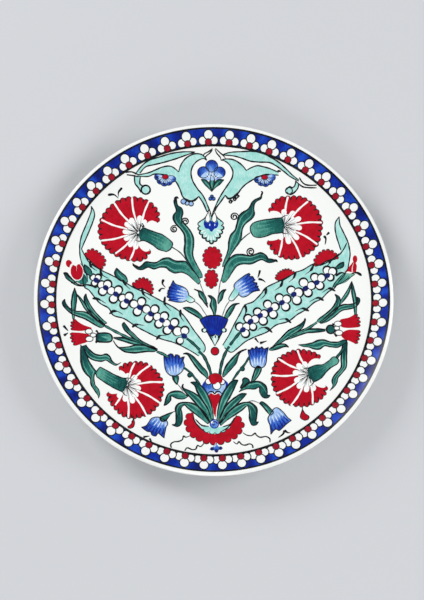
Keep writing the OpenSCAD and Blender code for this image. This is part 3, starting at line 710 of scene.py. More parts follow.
for x in (-4.6, 0.9):
    ring = round_loop(pts(x - 1.8, 67.6, x, 65.9, x + 1.8, 67.6, x + 1.5, 71, x + 0.5, 74, x - 1.3, 71))
    outlined("pendant_palmette", "white", ring, width=0.5, level=OVER + 0.03)
for path in (pts(-6, 84, -4, 79, -2.5, 75, -1.5, 70), pts(3, 82, 1, 77, -0.5, 73, -1.5, 68)):
    stroke("pendant_palmette", "ink", path, 0.7)

# ---------- centre ----------

for x, y, rx, ry, lobes in ((-1, 35, 7.6, 9.1, 12), (-2, 16.7, 5.2, 7.5, 9)):
    angles = [math.pi / 2 - 2 * math.pi * k / 24 for k in range(25)]
    oval = [(x + rx * math.cos(a), y + ry * math.sin(a)) for a in angles]
    ring = scallops(oval, lobes, 1.5, (x, y))
    fill("centre_rosettes", "red", ring)
    stroke("centre_rosettes", "ink", ring, 0.3, closed=True, raw=True)
spot("centre_rosettes", "red", 0.5, -45, 3.3, FILL, edge=0.5)

for left, right in ((pts(-16.5, 8, -13, 6, -12, 2, -9, -2, -5, -8),
                     pts(-16.5, 8, -10, 5.5, -7, 1, -6, -4, -5, -8)),
                    (pts(-5, 2.5, -2, -1, -3, -6, -1, -11, 0, -15),
                     pts(-5, 2.5, -2, 2, 1, -1, 2, -6, 1.5, -12, 1, -15)),
                    (pts(10.5, 7.5, 7, 6.5, 4.5, 3, 3.5, -1, 3.5, -5),
                     pts(10.5, 7.5, 8.5, 5, 7, 0, 5, -3, 3.5, -5)),
                    (pts(-26, -8, -20, -12, -15, -15, -11, -18),
                     pts(-26, -8, -22, -7.5, -17, -9, -12, -13, -9, -16.5)),
                    (pts(21.5, -4.5, 17, -5, 13, -8, 10.5, -12, 8.5, -16),
                     pts(21.5, -4.5, 18, -6, 16, -10, 13.5, -14, 11, -17.5))):
    leaf("centre_leaves", left, right, streaks=2)
for path in (pts(-11.5, 13, -9, 6, -7, 0, -5, -5), pts(6, 16, 4.5, 8, 4, 0, 3.5, -3),
             pts(-17, -2, -12, -6, -8, -12, -6, -15), pts(13, -2.5, 10, -7, 8, -12, 7, -15)):
    stroke("centre_leaves", "soft_ink", path, 0.75, (0.7, 0.7))
fill("centre_bud", "turquoise",
     loop(pts(-3.6, -31, 0.5, -40.5, 4.8, -31), pts(4.8, -31, 0.5, -29.5, -3.6, -31)), level=FILL,
     tone=0.8)
stroke("centre_bud", "white", [(0.5, -32), (0.5, -38)], 1.2, (0.8, 0.1), OVER)
bud_top = pts(-12, -18.5, -7, -15.6, 0, -14.6, 6, -15.4, 11.8, -18.2)
fill("centre_bud", "cobalt",
     loop(bud_top, pts(11.8, -18.2, 9, -24, 6.5, -29, 5, -33),
          pts(5, -33, 3.4, -31.5, 1, -31, -0.8, -32, -3, -33),
          pts(-3, -33, -5.5, -29, -8.5, -24, -12, -18.5)),
     level=OVER)
stroke("centre_bud", "ink", bud_top, 0.8, (0.6, 0.6))
for x in (-8, -5.4, -2.6, 0.4, 3.2, 5.9, 8.4):
    stroke("centre_bud", "navy", [(x, -16.5), (0.52 * x + 0.3, -25 - 3 * rng.random())], 1.1, None,
           OVER + 0.02)
stroke("centre_bud", "ink", pts(-3.4, -32.6, -2.2, -30.8, -0.8, -32, 1, -30.6, 2.8, -31.8, 4.6, -32.4), 0.5)
for path in (pts(-12, -18.5, -8.5, -24, -5, -30, -2, -35.5, 0.5, -40.5),
             pts(11.8, -18.2, 9, -24, 6, -30, 3, -36, 0.5, -40.5)):
    stroke("centre_bud", "ink", path, 0.8)
for x, way in ((-8, 1), (8, -1)):
    spot("centre_bud", "turquoise", x, -27.2, 1.7, edge=0.5, tone=0.8)
    stroke("centre_bud", "ink", pts(x - 1.4 * way, -25.6, x - 2.1 * way, -27.2, x - 1.2 * way, -29), 0.9)
for x in (-2, 1, 4):
    stroke("centre_bud", "ink", [(x, -31.5), (x * 0.8, -34)], 0.7)

# ---------- tulips ----------

tulip("tulip_upper_left",
      loop(pts(-34, 15.5, -32, 12.5, -27, 10.5, -23, 8, -21, 3, -22.5, -1, -26, -3, -31, -3, -38, -1.5),
           pts(-38, -1.5, -37, 0, -39.3, 2, -37.2, 3.6, -38.8, 5.6, -37, 7, -37.5, 9, -36, 11,
               -34, 15.5)),
      pts(-35, 12, -37.3, 8.5, -38, 5.2, -38.6, 2, -36.5, -1), (-22, 2), (-37.5, 5))
calyx("tulip_upper_left", pts(-21.5, 3, -18, 0.5), pts(-18, 0.5, -16, -1.5, -18, -3.3),
      pts(-18, -3.3, -20, -3.5, -23.5, -1.5), pts(-23.5, -1.5, -22, 1, -21.5, 3), "turquoise")
ticks("tulip_upper_left", pts(-42, 16.5, -43, 13, -40.5, 9.5), pts(-46, 6, -44, 8.5, -41, 8.5))
tulip("tulip_upper_right",
      loop(pts(30, 21.5, 26, 19.5, 22, 16.5, 18, 13, 17, 10, 18.5, 6, 21, 3, 24, 1, 28, 2, 33, 5.5,
               38.5, 6.5),
           pts(38.5, 6.5, 37, 8.8, 34.6, 10, 36.5, 12, 34.5, 13.5, 32.5, 14, 33.8, 16.5, 32.5, 18.6,
               30.3, 18.8, 30, 21.5)),
      pts(37.5, 7, 35.8, 12, 33, 17, 30, 20), (19.5, 6), (34, 14))
calyx("tulip_upper_right", pts(17.5, 8.5, 13, 1), pts(13, 1, 12.6, -1, 14, -2.2, 16, -2),
      pts(16, -2, 20.5, 3, 21, 5), pts(21, 5, 19.5, 7.5, 17.5, 8.5), "turquoise")
ticks("tulip_upper_right", pts(39, 24, 38, 20, 37, 17.5), pts(37.5, 16.5, 41, 15.5, 43.5, 13.5))
tulip("tulip_middle_left",
      loop(pts(-42, -49, -41.5, -56, -40, -62, -36, -65.5, -32, -65.5, -27, -62, -25, -57, -26, -53,
               -25, -49.5),
           pts(-25, -49.5, -29, -50.5, -30, -48.3, -32, -48, -33.5, -50, -34.5, -47.8, -37, -47,
               -38.5, -49.5, -42, -49)),
      pts(-40.5, -50, -36.5, -48, -31.5, -48.8, -26.5, -50.5), (-33, -65), (-34, -48))
leaf("tulip_middle_left", pts(-35, -65, -34, -69, -32, -72, -31, -73),
     pts(-30, -65.5, -30, -68, -30.5, -71, -31, -73), streaks=1)
stroke("tulip_middle_left", "soft_ink", pts(-31, -72, -28, -76, -26, -79), 0.7)
tulip("tulip_middle_right",
      loop(pts(28, -44, 29, -50, 30, -56, 33, -59, 40, -59, 43, -55, 43.5, -50, 45, -42),
           pts(45, -42, 41.5, -43.3, 39.5, -41.5, 37.5, -43.3, 35, -41.2, 33.5, -43.4, 31.5, -42.3,
               30, -44, 28, -44)),
      pts(29.5, -45, 33, -43.5, 37, -43, 43, -43.5), (36, -58.5), (36.5, -43))
leaf("tulip_middle_right", pts(36, -57.5, 34, -60, 32, -66, 30, -72.5),
     pts(36, -57.5, 39, -59.5, 37, -65, 33, -70, 30, -72.5))
ticks("tulip_middle_right", pts(34, -34, 37, -38), pts(38, -38.5, 44, -36.5))
tulip("tulip_lower_left",
      loop(pts(-60.5, -108.5, -57, -107.5, -55, -105, -52, -101, -47, -100, -42.5, -102, -40, -103,
               -39, -106, -40.5, -109, -42, -117.5),
           pts(-42, -117.5, -45, -115, -47, -113.5, -49, -116, -52, -115, -53, -112.5, -56, -112,
               -60.5, -108.5)),
      pts(-57.5, -109.5, -51, -113.5, -46, -112.5, -43, -114), (-44, -102), (-51, -113))
fill("tulip_lower_left", "green",
     round_loop(pts(-45, -100, -42.5, -98.5, -39.5, -97.5, -34, -95.5, -38, -99.5, -41, -103, -44, -103)),
     level=OVER)
stroke("tulip_lower_left", "ink",
       pts(-33, -95.3, -40, -98, -45, -100.5, -44, -103.3, -41, -103, -37, -98.5), 0.9)
ticks("tulip_lower_left", pts(-59, -117, -54, -116), pts(-54, -118, -52, -121))
tulip("tulip_lower_right",
      loop(pts(63, -103.5, 60, -101, 56, -96, 52, -93, 49, -93.5, 46.5, -97, 44, -101, 44, -104,
               45.5, -108, 46, -115),
           pts(46, -115, 49, -111.5, 51, -111, 53, -112, 56, -109.5, 58, -107.5, 60.5, -105.5,
               63, -103.5)),
      pts(60, -103.5, 56, -108, 51.5, -110, 47, -111.5), (48, -98), (53, -110))
leaf("tulip_lower_right", pts(37, -89, 41, -93, 44.5, -98),
     pts(37, -89, 40, -88, 48, -96, 46, -99, 44.5, -98), streaks=2)
stroke("tulip_lower_right", "soft_ink", pts(25, -88.5, 28, -87.5, 32, -87, 37, -89), 0.7)
ticks("tulip_lower_right", pts(57, -112, 56, -115, 52, -118), pts(57, -112, 60, -114, 62, -114))

# ---------- side flowers ----------

def side_pink(motif, neck, halves, petals):
    """A small red flower in two halves with toothed edges, and white petals at its neck."""
    neck = np.array(neck, float)
    for edge, rest in halves:
        rim = scallops(edge, 4, PINK_TOOTH_DEPTH, neck)
        fill(motif, "red", rim + smooth(rest)[1:-1])
        stroke(motif, "ink", rim, 0.35, (0.6, 0.6), raw=True)
        for i in range(BUMP_STEPS, len(rim) - 1, BUMP_STEPS):
            inward = (neck - rim[i]) / np.linalg.norm(neck - rim[i])
            stroke(motif, "ink", [rim[i] - inward, rim[i] + inward], 0.8, None, LINE + 0.01)
    for x, y, w in petals:
        outlined(motif, "white", disc(x, y, w, squash=0.72), width=0.4, level=OVER)


side_pink("side_pink_left", (-98, -31.5),
          ((pts(-115.8, -17.2, -118.6, -21, -118, -27),
            pts(-118, -27, -110, -27.2, -102, -25, -108, -22.5, -112.5, -20, -115.8, -17.2)),
           (pts(-118.6, -28.6, -118.6, -34, -115.4, -40),
            pts(-115.4, -40, -110.5, -38.3, -105, -36, -103.5, -31, -110, -29, -118.6, -28.6))),
          ((-104.5, -27.6, 3.0), (-104, -34, 3.1), (-100.8, -30.8, 2.4)))
left_cup = round_loop(pts(-97, -29.5, -88, -29.5, -85, -33, -87, -36.5, -97, -36.3, -98, -33))
fill("side_pink_left", "green", left_cup, ((-97, -33), (-86, -33)))
stroke("side_pink_left", "ink", left_cup, 0.9, closed=True, raw=True)
stroke("side_pink_left", "mint", pts(-94, -32, -87.5, -33.5), 1.2, (0.3, 0.3), OVER)
stroke("side_pink_left", "deep", pts(-96.5, -34.5, -89, -35), 1.6, (0.8, 0.1), OVER)
ticks("side_pink_left", pts(-98.5, -26.8, -96, -29.5), pts(-99, -37, -96, -35.5),
      pts(-125.5, -23, -121.5, -27.5), pts(-125, -31.5, -121.5, -29))
side_pink("side_pink_right", (99, -27),
          ((pts(118.2, -14, 121, -19, 120.8, -25.6),
            pts(120.8, -25.6, 112, -26, 106, -24.5, 105.5, -19, 113, -17, 118.2, -14)),
           (pts(120.8, -28, 120.6, -33.5, 118, -40),
            pts(118, -40, 113.5, -37.5, 108, -35, 106, -31, 112, -27.6, 120.8, -28))),
          ((103.6, -22.3, 3.1), (104.2, -30, 3.1), (102.6, -26, 2.3)))
spot("side_pink_right", "green", 97.5, -27, 3.6, FILL, edge=1.0, tone=0.2)
ticks("side_pink_right", pts(100, -22, 98.5, -24.5), pts(102.5, -33, 99.5, -30))
leaf("side_pink_left", pts(-84, -33, -76, -33.2, -68, -35.5, -60, -38),
     pts(-84, -33.5, -76, -36, -68, -38.5, -60, -39.5), streaks=1)
leaf("side_pink_right", pts(93, -27, 85, -26.5, 77, -27, 68, -30, 60, -35),
     pts(93, -28.5, 85, -29.5, 77, -30, 68, -33, 60, -36), streaks=1)

leaf("rosebud_left", pts(-125.6, 21.6, -123.2, 21, -120.8, 19.8, -118, 16.6, -114, 12.6, -107, 11.4),
     pts(-125.6, 21.6, -123.4, 17.4, -119.4, 14.4, -114.5, 11.6, -107, 10.8), streaks=1, width=0.7,
     level=OVER)
fill("rosebud_left", "green",
     round_loop(pts(-117.5, 17, -113, 13.5, -108, 12.6, -106, 15.5, -107.5, 20, -110.5, 22, -114, 20)),
     ((-106, 21), (-116, 12)), OVER)
fill("rosebud_left", "red", disc(-121.3, 30, 2.6, squash=1.25, turn=15), level=OVER + 0.01)
stroke("rosebud_left", "red", [(-120.8, 28), (-119.2, 25)], 1.6, (0.9, 0.8), OVER + 0.01)
fill("rosebud_left", "white",
     round_loop(pts(-121.2, 25.5, -119.4, 30, -116, 30, -113, 31, -109.8, 27, -109.4, 21.5, -111.6, 16.6,
                    -116.5, 15.8, -120.8, 19.5)),
     level=OVER + 0.05)
fill("rosebud_left", "red",
     round_loop(pts(-119.8, 25.5, -118, 29, -115.6, 28.2, -113, 30, -110.2, 26.5, -109.8, 21.5,
                    -112.2, 17, -116.4, 16.8, -119.4, 20.5)),
     level=OVER + 0.08)
stroke("rosebud_left", "white", pts(-115.6, 29, -114.8, 26.5, -115.4, 24.2), 0.8, None, LINE + 0.06)
ticks("rosebud_left", pts(-126, 21.6, -123, 21.4, -120.2, 17.5, -116, 14.6),
      pts(-113.8, 30.6, -109.6, 27.2, -106.6, 21, -105.5, 14), pts(-98, 9.8, -104, 11.8, -112, 13),
      pts(-119.5, 14.5, -116.5, 13.6, -114.5, 15.5))
leaf("rosebud_left", pts(-108.4, 29.6, -109, 26, -107, 22, -102, 19.5),
     pts(-108.4, 29.6, -104.5, 26.5, -102.5, 23.5, -102, 19.5), streaks=1, level=OVER + 0.02)
stroke("rosebud_left", "deep", pts(-107.6, 27.8, -105.8, 24.6, -103.4, 21.4), 2.4, (0.5, 0.2), OVER + 0.05)
leaf("rosebud_right", pts(99.5, 8.6, 102, 13, 106, 17.5, 109.6, 20.8),
     pts(99.5, 8.6, 106, 12, 112.5, 15.8, 118.8, 19.8), streaks=0, width=0.5, colour="mint", level=OVER)
for k in range(4):
    stroke("rosebud_right", ("deep", "green")[k % 2],
           [(101.5 + 0.4 * k, 10.6), (108 + 1.1 * k, 16 - 0.7 * k), (111 + 1.9 * k, 20.2 - 0.4 * k)], 0.7,
           (0.2, 0.8), LINE)
fill("rosebud_right", "red", disc(119.1, 32.8, 1.9, squash=1.7), level=OVER)
fill("rosebud_right", "red",
     loop(pts(118.4, 31.6, 115.6, 28.4, 112.6, 24.8, 109.8, 21.6),
          pts(109.8, 21.6, 113, 22.4, 116.2, 21.6), pts(116.2, 21.6, 116.4, 25.5, 118.4, 31.6)),
     level=OVER)
fill("rosebud_right", "red",
     loop(pts(118.5, 31.6, 120.4, 27, 119.6, 21.2), pts(119.6, 21.2, 118, 21.8, 116.8, 21),
          pts(116.8, 21, 117.1, 26, 118.5, 31.6)),
     level=OVER)
ticks("rosebud_right", pts(124.3, 18.5, 121, 20.9, 118, 21, 114, 19.4),
      pts(102.6, 18.6, 106.5, 21.2, 109.5, 21.2, 113, 19.6))
leaf("rosebud_right", pts(109.8, 30.6, 107, 29.6, 104, 27.2, 101.5, 24.6),
     pts(109.8, 30.6, 109.2, 26.8, 105, 25, 101.5, 24.6), streaks=0, level=OVER + 0.02)
stroke("rosebud_right", "deep", pts(108.6, 29, 106.6, 27.6, 104, 26), 2.4, (0.5, 0.2), OVER + 0.05)
leaf("leaf_rosettes_left", pts(-81.5, 26.5, -83, 22, -80, 17, -74, 14),
     pts(-81.5, 26.5, -77, 22, -73.5, 19, -72, 14.5), streaks=1, level=OVER)

# ---------- green leaves ----------

for left, right in ((pts(-31, 87.5, -33, 85, -32.5, 81, -31, 76, -33.5, 72, -33.5, 68, -31, 64, -27, 59.5,
                         -24.5, 55, -24, 48, -24.5, 40, -22, 33, -18, 26, -12, 17.5),
                     pts(-31, 87.5, -30, 81, -26.5, 78, -25.5, 74, -26.5, 70, -25.5, 66, -22, 62, -18, 56,
                         -16.5, 50, -17, 43, -17.5, 38, -16, 33, -13, 27, -9.8, 21, -9.5, 18)),
                    (pts(-68, 29, -64, 27, -61, 28, -57, 31.5, -52, 31, -48, 31, -43, 34, -38, 35,
                         -34, 33, -30, 32, -25, 32, -22, 30.5, -18, 25, -14, 20, -11, 14.5),
                     pts(-68, 29, -64, 25.5, -60, 25, -55, 27, -50, 25.5, -45, 27, -40, 26.5, -37, 24,
                         -33, 22, -27, 22.5, -22, 20.5, -17, 16, -13, 12))):
    leaf("upper_leaves_left", left, right)
for left, right in ((pts(41.5, 91, 40.5, 88, 36, 85.5, 33, 83, 31.5, 79.5, 29, 76.5, 24, 73.5, 21.5, 70,
                         20, 64, 18.5, 59, 14.5, 54, 13, 48, 12.5, 42, 10.5, 36, 8, 30, 7.5, 27),
                     pts(41.5, 91, 41, 86.5, 37, 84, 35, 81, 34.5, 77, 35, 73, 33, 69, 28, 65, 25, 61,
                         24, 56, 23, 50, 19, 44, 15.5, 39, 12, 33, 9, 28)),
                    (pts(53.5, 32, 49, 33.5, 46, 34, 44, 37, 40, 39, 36, 38, 31, 36.5, 25, 37.5, 19, 37.5,
                         14, 34.5, 10, 29, 8, 22, 6.5, 16, 7.5, 13.5),
                     pts(53.5, 32, 48, 30.5, 45, 31, 41, 33, 37, 32, 32, 29.5, 25, 29.5, 20, 28, 16, 23,
                         13, 18, 10, 14))):
    leaf("upper_leaves_right", left, right)
for motif, path in (("upper_leaves_left", pts(-31.2, 84, -32.4, 87, -30.6, 88, -29.4, 86.6)),
                    ("upper_leaves_right", pts(41, 89, 42, 91.8, 40.8, 92.6)),
                    ("upper_leaves_right", pts(49, 32.6, 52.6, 32.6, 53.6, 30.8)),
                    ("upper_leaves_left", pts(-63, 27.2, -66.5, 28.6, -68, 30.4))):
    stroke(motif, "ink", path, 1.1, (0.8, 0.5))
for x, y, r, start, way in ((-33, 60, 3.3, 60, 1), (-23.5, 66.5, 3.5, 220, -1), (18, 70.5, 3.7, -20, 1),
                            (31.5, 40, 3.7, -90, -1)):
    spiral("upper_leaves_left" if x < 0 else "upper_leaves_right", x, y, r, 1.7, start, way)

for left, right in ((pts(-75, -20, -76.5, -22, -75, -26, -70, -31, -64, -36, -56, -40.5, -48, -44),
                     pts(-75, -20, -70, -27, -66, -31, -62, -35, -55, -39, -50, -41, -48, -43)),
                    (pts(-84, -35.5, -82, -39, -79, -42, -74, -45, -66, -46, -57, -45, -50, -45,
                         -47, -43.5),
                     pts(-84, -35.5, -80, -41, -72, -41, -66, -39.5, -60, -39.5, -50, -41.5, -47, -43))):
    leaf("side_leaves_left", left, right)
stem("side_leaves_left", pts(-91, -23, -82, -28, -72, -33, -60, -38), 2.2, "green")
stem("side_leaves_left", pts(-48, -45, -42, -47.5, -38, -50), 2.2, "green")
leaf("side_leaves_left", pts(-115.5, 5, -112, -1, -108, -8, -103, -14, -96, -20, -92, -23),
     pts(-115.5, 5, -110.5, 0, -106, -7, -101, -12.5, -95, -18, -91, -21.5), streaks=1, width=0.5)
for left, right, streaks in ((pts(-116.5, 9.5, -118.3, 3, -119, -4, -118.6, -11, -118, -17),
                              pts(-116.5, 9.5, -114.8, 3, -115.2, -4, -116, -10, -116.5, -17), 2),
                             (pts(-124.5, -0.5, -126.5, -3, -125, -7, -119.5, -12, -113, -15, -107.5, -17,
                                  -101, -21, -95, -24.3, -91, -23),
                              pts(-124.5, -0.5, -124, -3.5, -120.5, -8, -115, -10.5, -108, -11,
                                  -102, -14.5, -96, -19, -91, -22),
                              3),
                             (pts(-107, 4.5, -108.6, 1, -107.5, -4, -104.5, -10, -99, -16.5, -93, -22),
                              pts(-107, 4.5, -105.8, 0, -102.5, -6.5, -98, -12.5, -92.5, -18,
                                  -89.3, -20.5),
                              3),
                             (pts(-107, -39, -104, -43, -99, -47, -94, -48, -90, -47, -87, -49, -85, -53,
                                  -81, -55.5, -77.5, -54),
                              pts(-110, -40, -108, -44, -105, -49, -100, -52, -94, -53, -90, -52,
                                  -86, -54.5, -82, -56.5, -77.5, -54),
                              3),
                             (pts(-111, -39, -111, -50, -110, -57, -107, -63, -103, -67, -102, -73,
                                  -99, -78, -96.5, -82, -96, -84.5),
                              pts(-108, -42, -105, -51, -101, -58, -98, -62, -99.5, -64, -100, -68,
                                  -99, -73, -96, -77, -95, -81, -96, -84.5),
                              3)):
    leaf("side_leaves_left", left, right, streaks=streaks)
for left, right, streaks in ((pts(76, -17.5, 75, -20, 70, -24, 62, -28, 57, -33, 53, -37, 47, -43),
                              pts(76, -17.5, 76.5, -19, 74, -25, 68, -30, 62, -34, 56, -38, 47, -43.5),
                              3),
                             (pts(62, -42, 59, -39.5, 54, -39.5, 50, -41, 46, -43),
                              pts(62, -42, 59, -41.5, 54, -43, 49, -44.5, 46, -44.5), 2)):
    leaf("side_leaves_right", left, right, streaks=streaks)
leaf("side_leaves_right", pts(116, 14, 112, 6, 108, 0, 105, -5),
     pts(116, 14, 115, 8, 112.5, 2, 109.5, -2, 106, -6), streaks=2, width=0.5)
leaf("side_leaves_right", pts(116, 14, 115.8, 4, 117, -4, 117.6, -15),
     pts(116, 14, 118.4, 5, 119.6, -5, 119.2, -15), streaks=1, width=0.6)
for left, right in ((pts(119, 0.5, 120.3, -1.5, 119, -4.5, 114, -6, 109, -6, 104, -8, 99, -12, 93, -17.5,
                         88, -21),
                     pts(119, 0.5, 122, -1, 121.8, -4.5, 118, -8.5, 112, -10, 107, -11, 102, -15,
                         96, -19.5, 90, -22, 88, -21)),
                    (pts(101.5, 3, 103, 0, 102.5, -3, 100.5, -7, 97, -11, 92, -15, 87, -18.5, 86, -20.5),
                     pts(101.5, 3, 105, 1, 106, -2.5, 105, -7, 101.5, -11.5, 96, -16.5, 90.5, -21,
                         86, -20.5))):
    leaf("side_leaves_right", left, right)
stem("side_leaves_right", pts(86, -21, 80, -25, 72, -29, 62, -33), 2.2, "green")
leaf("side_leaves_right",
     pts(111, -37, 108, -36.2, 103, -38, 97, -37.8, 91, -36, 86.5, -36.4, 82, -38.4, 77.5, -39.4,
         73, -39.8, 70, -40),
     pts(111, -38, 108, -39.6, 103, -42.2, 97, -41.8, 92, -41, 88, -43.6, 84, -43.8, 79, -42, 74, -41.4,
         70, -40),
     level=OVER + 0.02)
leaf("side_leaves_right",
     pts(107, -40, 106, -47, 105.5, -53, 105.5, -59, 102.5, -63, 99, -67, 97.5, -71, 98, -75, 95.5, -79),
     pts(111, -38, 110.5, -45, 110, -52, 109.5, -59, 106, -64, 102.5, -68, 101.5, -72, 99, -76,
         95.5, -79))

# ---------- root of the bouquet ----------

collar = scallops(pts(-20.5, -96.5, -24, -101, -24, -108, -19, -116, -11, -120.5, -3, -122.5, 4, -122.5,
                      12, -120, 19, -115.5, 23, -109, 22.5, -104, 18.5, -99),
                  13, 2.2, (0, -104))
fill("root_peony", "red",
     collar
     + smooth(pts(18.5, -99, 16.5, -101, 14, -105, 10, -109.5, 4, -113, -1, -114.5, -8, -112.5,
                  -13, -108.5, -17, -103, -18, -97, -20.5, -96.5))[1:-1])
stroke("root_peony", "ink", collar, 0.35, (0.6, 0.6), raw=True)
for path in (pts(-18, -97, -17, -103, -13, -108.5, -8, -112.5),
             pts(18, -99, 14, -105, 10, -109.5, 5, -112.5), pts(-16, -102, -11, -107, -5, -108),
             pts(16, -101, 13, -106, 6.5, -108.5)):
    stroke("root_peony", "ink", path, 0.8)
cuff = scallops(pts(-13.5, -107.5, -8, -112, 0, -114, 8, -111.8, 13, -107.2), 6, 1.5, (0, -104))
fill("root_peony", "turquoise",
     cuff + smooth(pts(13, -107.2, 6, -108.2, 0, -109, -6, -108.2, -13.5, -107.5))[1:-1], level=OVER)
stroke("root_peony", "ink", cuff, 0.4, (0.4, 0.4), raw=True)
fill("root_peony", "sky",
     loop(pts(0.5, -121.5, -1.5, -125, -5, -127.5), pts(-5, -127.5, -1.5, -128, 1, -130.3),
          pts(1, -130.3, 3, -128, 6.8, -126.5), pts(6.8, -126.5, 3, -125, 0.5, -121.5)),
     ((1, -130), (0.5, -121)), level=OVER)
for x, y, r in ((-2.6, -126.9, 1.5), (4.4, -126.4, 1.5), (1.0, -128.7, 1.5)):
    spot("root_peony", "navy", x, y, r, OVER + 0.02)
stroke("root_peony", "pale", [(0.2, -123), (-0.6, -125.6)], 0.8, (0.3, 0.3), LINE + 0.04)
for path in (pts(-36, -126, -36.5, -123, -34, -121, -30, -120.5, -27, -119, -26, -116, -24, -117,
                 -20, -115.5),
             pts(-25, -128.5, -23, -126, -19, -127.5, -16, -127, -14.5, -124, -12, -125, -9, -122),
             pts(45, -122, 45, -119, 42, -117, 37, -117.5, 34, -115.5, 33, -114, 30, -116, 26, -115.5,
                 23, -113.5),
             pts(31, -126.5, 30.5, -124, 28, -123, 25, -124, 22, -123.5, 19.5, -121, 18, -123, 15, -121)):
    stroke("root_peony", "ink", path, 0.75, (1.4, 0.4))

stem("root_leaves_left", pts(-13, -45, -9, -49, -6, -55, -3.5, -62, -3, -66), 2.4)
stem("root_leaves_right", pts(12.5, -41, 10, -45, 7, -52, 5, -60, 4.5, -66), 2.4)
leaf("root_leaves_left", pts(-26, -47, -22, -48, -18, -54, -13, -61, -8, -66, -5.5, -68.5),
     pts(-26, -47, -22, -46.5, -17, -50, -11, -57, -6, -63, -5.5, -68.5), streaks=2)
leaf("root_leaves_right", pts(27, -43.5, 22, -45, 16, -50, 10, -57, 7, -64, 7, -67),
     pts(27, -43.5, 21, -47, 18, -55, 13, -61, 8.5, -66, 7, -67), streaks=2)
for side, path, blob in (("left", pts(-25, -59, -20, -63, -16, -68, -12, -73), (-20.6, -65)),
                         ("right", pts(29, -50, 25, -56.5, 20, -62.5, 15, -69.5), (23.2, -60))):
    stem("root_leaves_" + side, path, 1.9)
    spot("root_leaves_" + side, "deep", blob[0], blob[1], 1.7, OVER, edge=0.6)
fill("root_collar", "sky",
     loop(pts(-6, -68, -9.5, -74, -7.5, -79, -5, -81.5), pts(-5, -81.5, 0, -79, 5, -82),
          pts(5, -82, 8.5, -78, 10.5, -73, 8, -69), pts(8, -69, 1, -73, -6, -68)),
     ((-9, -72), (0, -80)))
for path in (pts(-6, -68.5, -9.3, -74, -7.5, -79), pts(8.2, -69.5, 10.3, -73.5, 8.3, -78.5)):
    stroke("root_collar", "cobalt", path, 2.0, (0.4, 0.2), OVER)
for x, y, r in ((-5, -70.5, 2.6), (1.8, -74, 3.4), (6.3, -71, 2.3)):
    spot("root_collar", "white", x, y, r, OVER + 0.02, edge=0.5)
outlined("root_collar", "red",
         loop(pts(-4.7, -68.5, -4, -65.5, 0.5, -63.8, 4.5, -65, 6.5, -68),
              pts(6.5, -68, 5.5, -71.5, 2.5, -71, 0, -72.7, -3, -71.6, -4.7, -68.5)),
         width=0.5, level=OVER + 0.05)
fill("root_collar", "red",
     loop(pts(-5, -82, -3, -80.4, 0, -81.7, 3, -80.6, 5, -82.5),
          pts(5, -82.5, 3.5, -87, 1.5, -93, 0.6, -101), pts(0.6, -101, -1, -97, -2, -91, -5, -82)),
     level=FILL)
stroke("root_collar", "ink", pts(-6, -81, -4, -79, -1.5, -79.3, 0, -80.8, 1.5, -79.2, 4, -79, 6.5, -81.5),
       0.8)

for left, right, streaks in ((pts(-42, -90.5, -40, -84, -38, -80.5, -33, -78.5, -28, -79, -24, -81.5),
                              pts(-42, -90.5, -39, -89, -36.5, -86, -36, -82.5, -31, -84.5, -26, -85,
                                  -22, -83),
                              2),
                             (pts(-35.5, -106.5, -32.5, -105.5, -32, -98, -32.5, -93, -30, -89, -24, -88,
                                  -18, -89, -13, -92, -8, -97, -4, -104),
                              pts(-35.5, -106.5, -31, -108, -27.5, -105, -27, -98, -28, -93, -25, -90,
                                  -22, -93, -17, -97, -12, -101, -6, -106),
                              3),
                             (pts(-26, -72.5, -27, -75, -24.5, -79, -19, -85, -14, -91, -9, -98,
                                  -4.5, -105),
                              pts(-26, -72.5, -25.5, -76, -19, -79, -13, -83, -9, -88, -5, -95, -3, -103),
                              3),
                             (pts(-20, -71, -16.5, -74, -14, -80, -10, -87, -6, -93, -3, -102),
                              pts(-20, -71, -15, -71, -11, -74, -7, -79, -4, -86, -2, -94, -1, -102), 3)):
    leaf("root_leaves_left", left, right, streaks=streaks)
leaf("root_leaves_right",
     pts(46, -82.5, 43.5, -82, 43.5, -79, 42, -74, 37, -71, 31, -71, 26, -73, 20, -79.5),
     pts(46, -82.5, 44, -84.5, 40, -84, 37.5, -80, 37, -75.5, 33, -77, 26, -77, 20, -79.5), streaks=2)
outlined("root_leaves_right", "deep",
         round_loop(pts(21.5, -76, 23.4, -72, 23.4, -69, 25.5, -67.8, 28.2, -69, 28.4, -71.8,
                        25.5, -74.6)))
for left, right in ((pts(36, -104.5, 34, -104, 35, -96, 34, -92, 30, -88.7, 26, -88.3, 22, -89, 16, -92,
                         10, -97, 3.5, -105),
                     pts(36, -104.5, 34, -107, 30.5, -107, 28.5, -102, 28.5, -96, 27, -91, 22, -95,
                         16, -99, 10, -103, 5, -107.5)),
                    (pts(26.5, -81, 22, -81, 17, -84, 12, -88, 8, -93, 5, -100, 3, -105),
                     pts(26.5, -81, 22, -86, 17, -91, 11, -97, 6, -104, 4, -106)),
                    (pts(19.5, -69.5, 15, -70, 11, -74, 7, -80, 4.5, -86, 2.5, -95, 1.5, -103),
                     pts(19.5, -69.5, 16.5, -76, 13, -83, 9, -90, 5, -98, 2.5, -104))):
    leaf("root_leaves_right", left, right)
spot("root_peony", "sky", -0.5, -106, 3.7, LINE + 0.02, tone=0.6)
spot("root_peony", "white", -2.2, -104.8, 1.1, LINE + 0.05)
curl = []
for k in range(22):
    reach = 2.4 * (1 - k / 26)
    curl.append((-0.5 + reach * math.cos(0.3 * k), -106 + reach * math.sin(0.3 * k)))
stroke("root_peony", "navy", curl, 0.9, (0.9, 0.4), LINE + 0.08, raw=True)
stroke("root_peony", "navy", disc(-0.5, -106, 3.6), 0.7, (0.7, 0.7), LINE + 0.05, closed=True, raw=True)

# ---------- border ----------

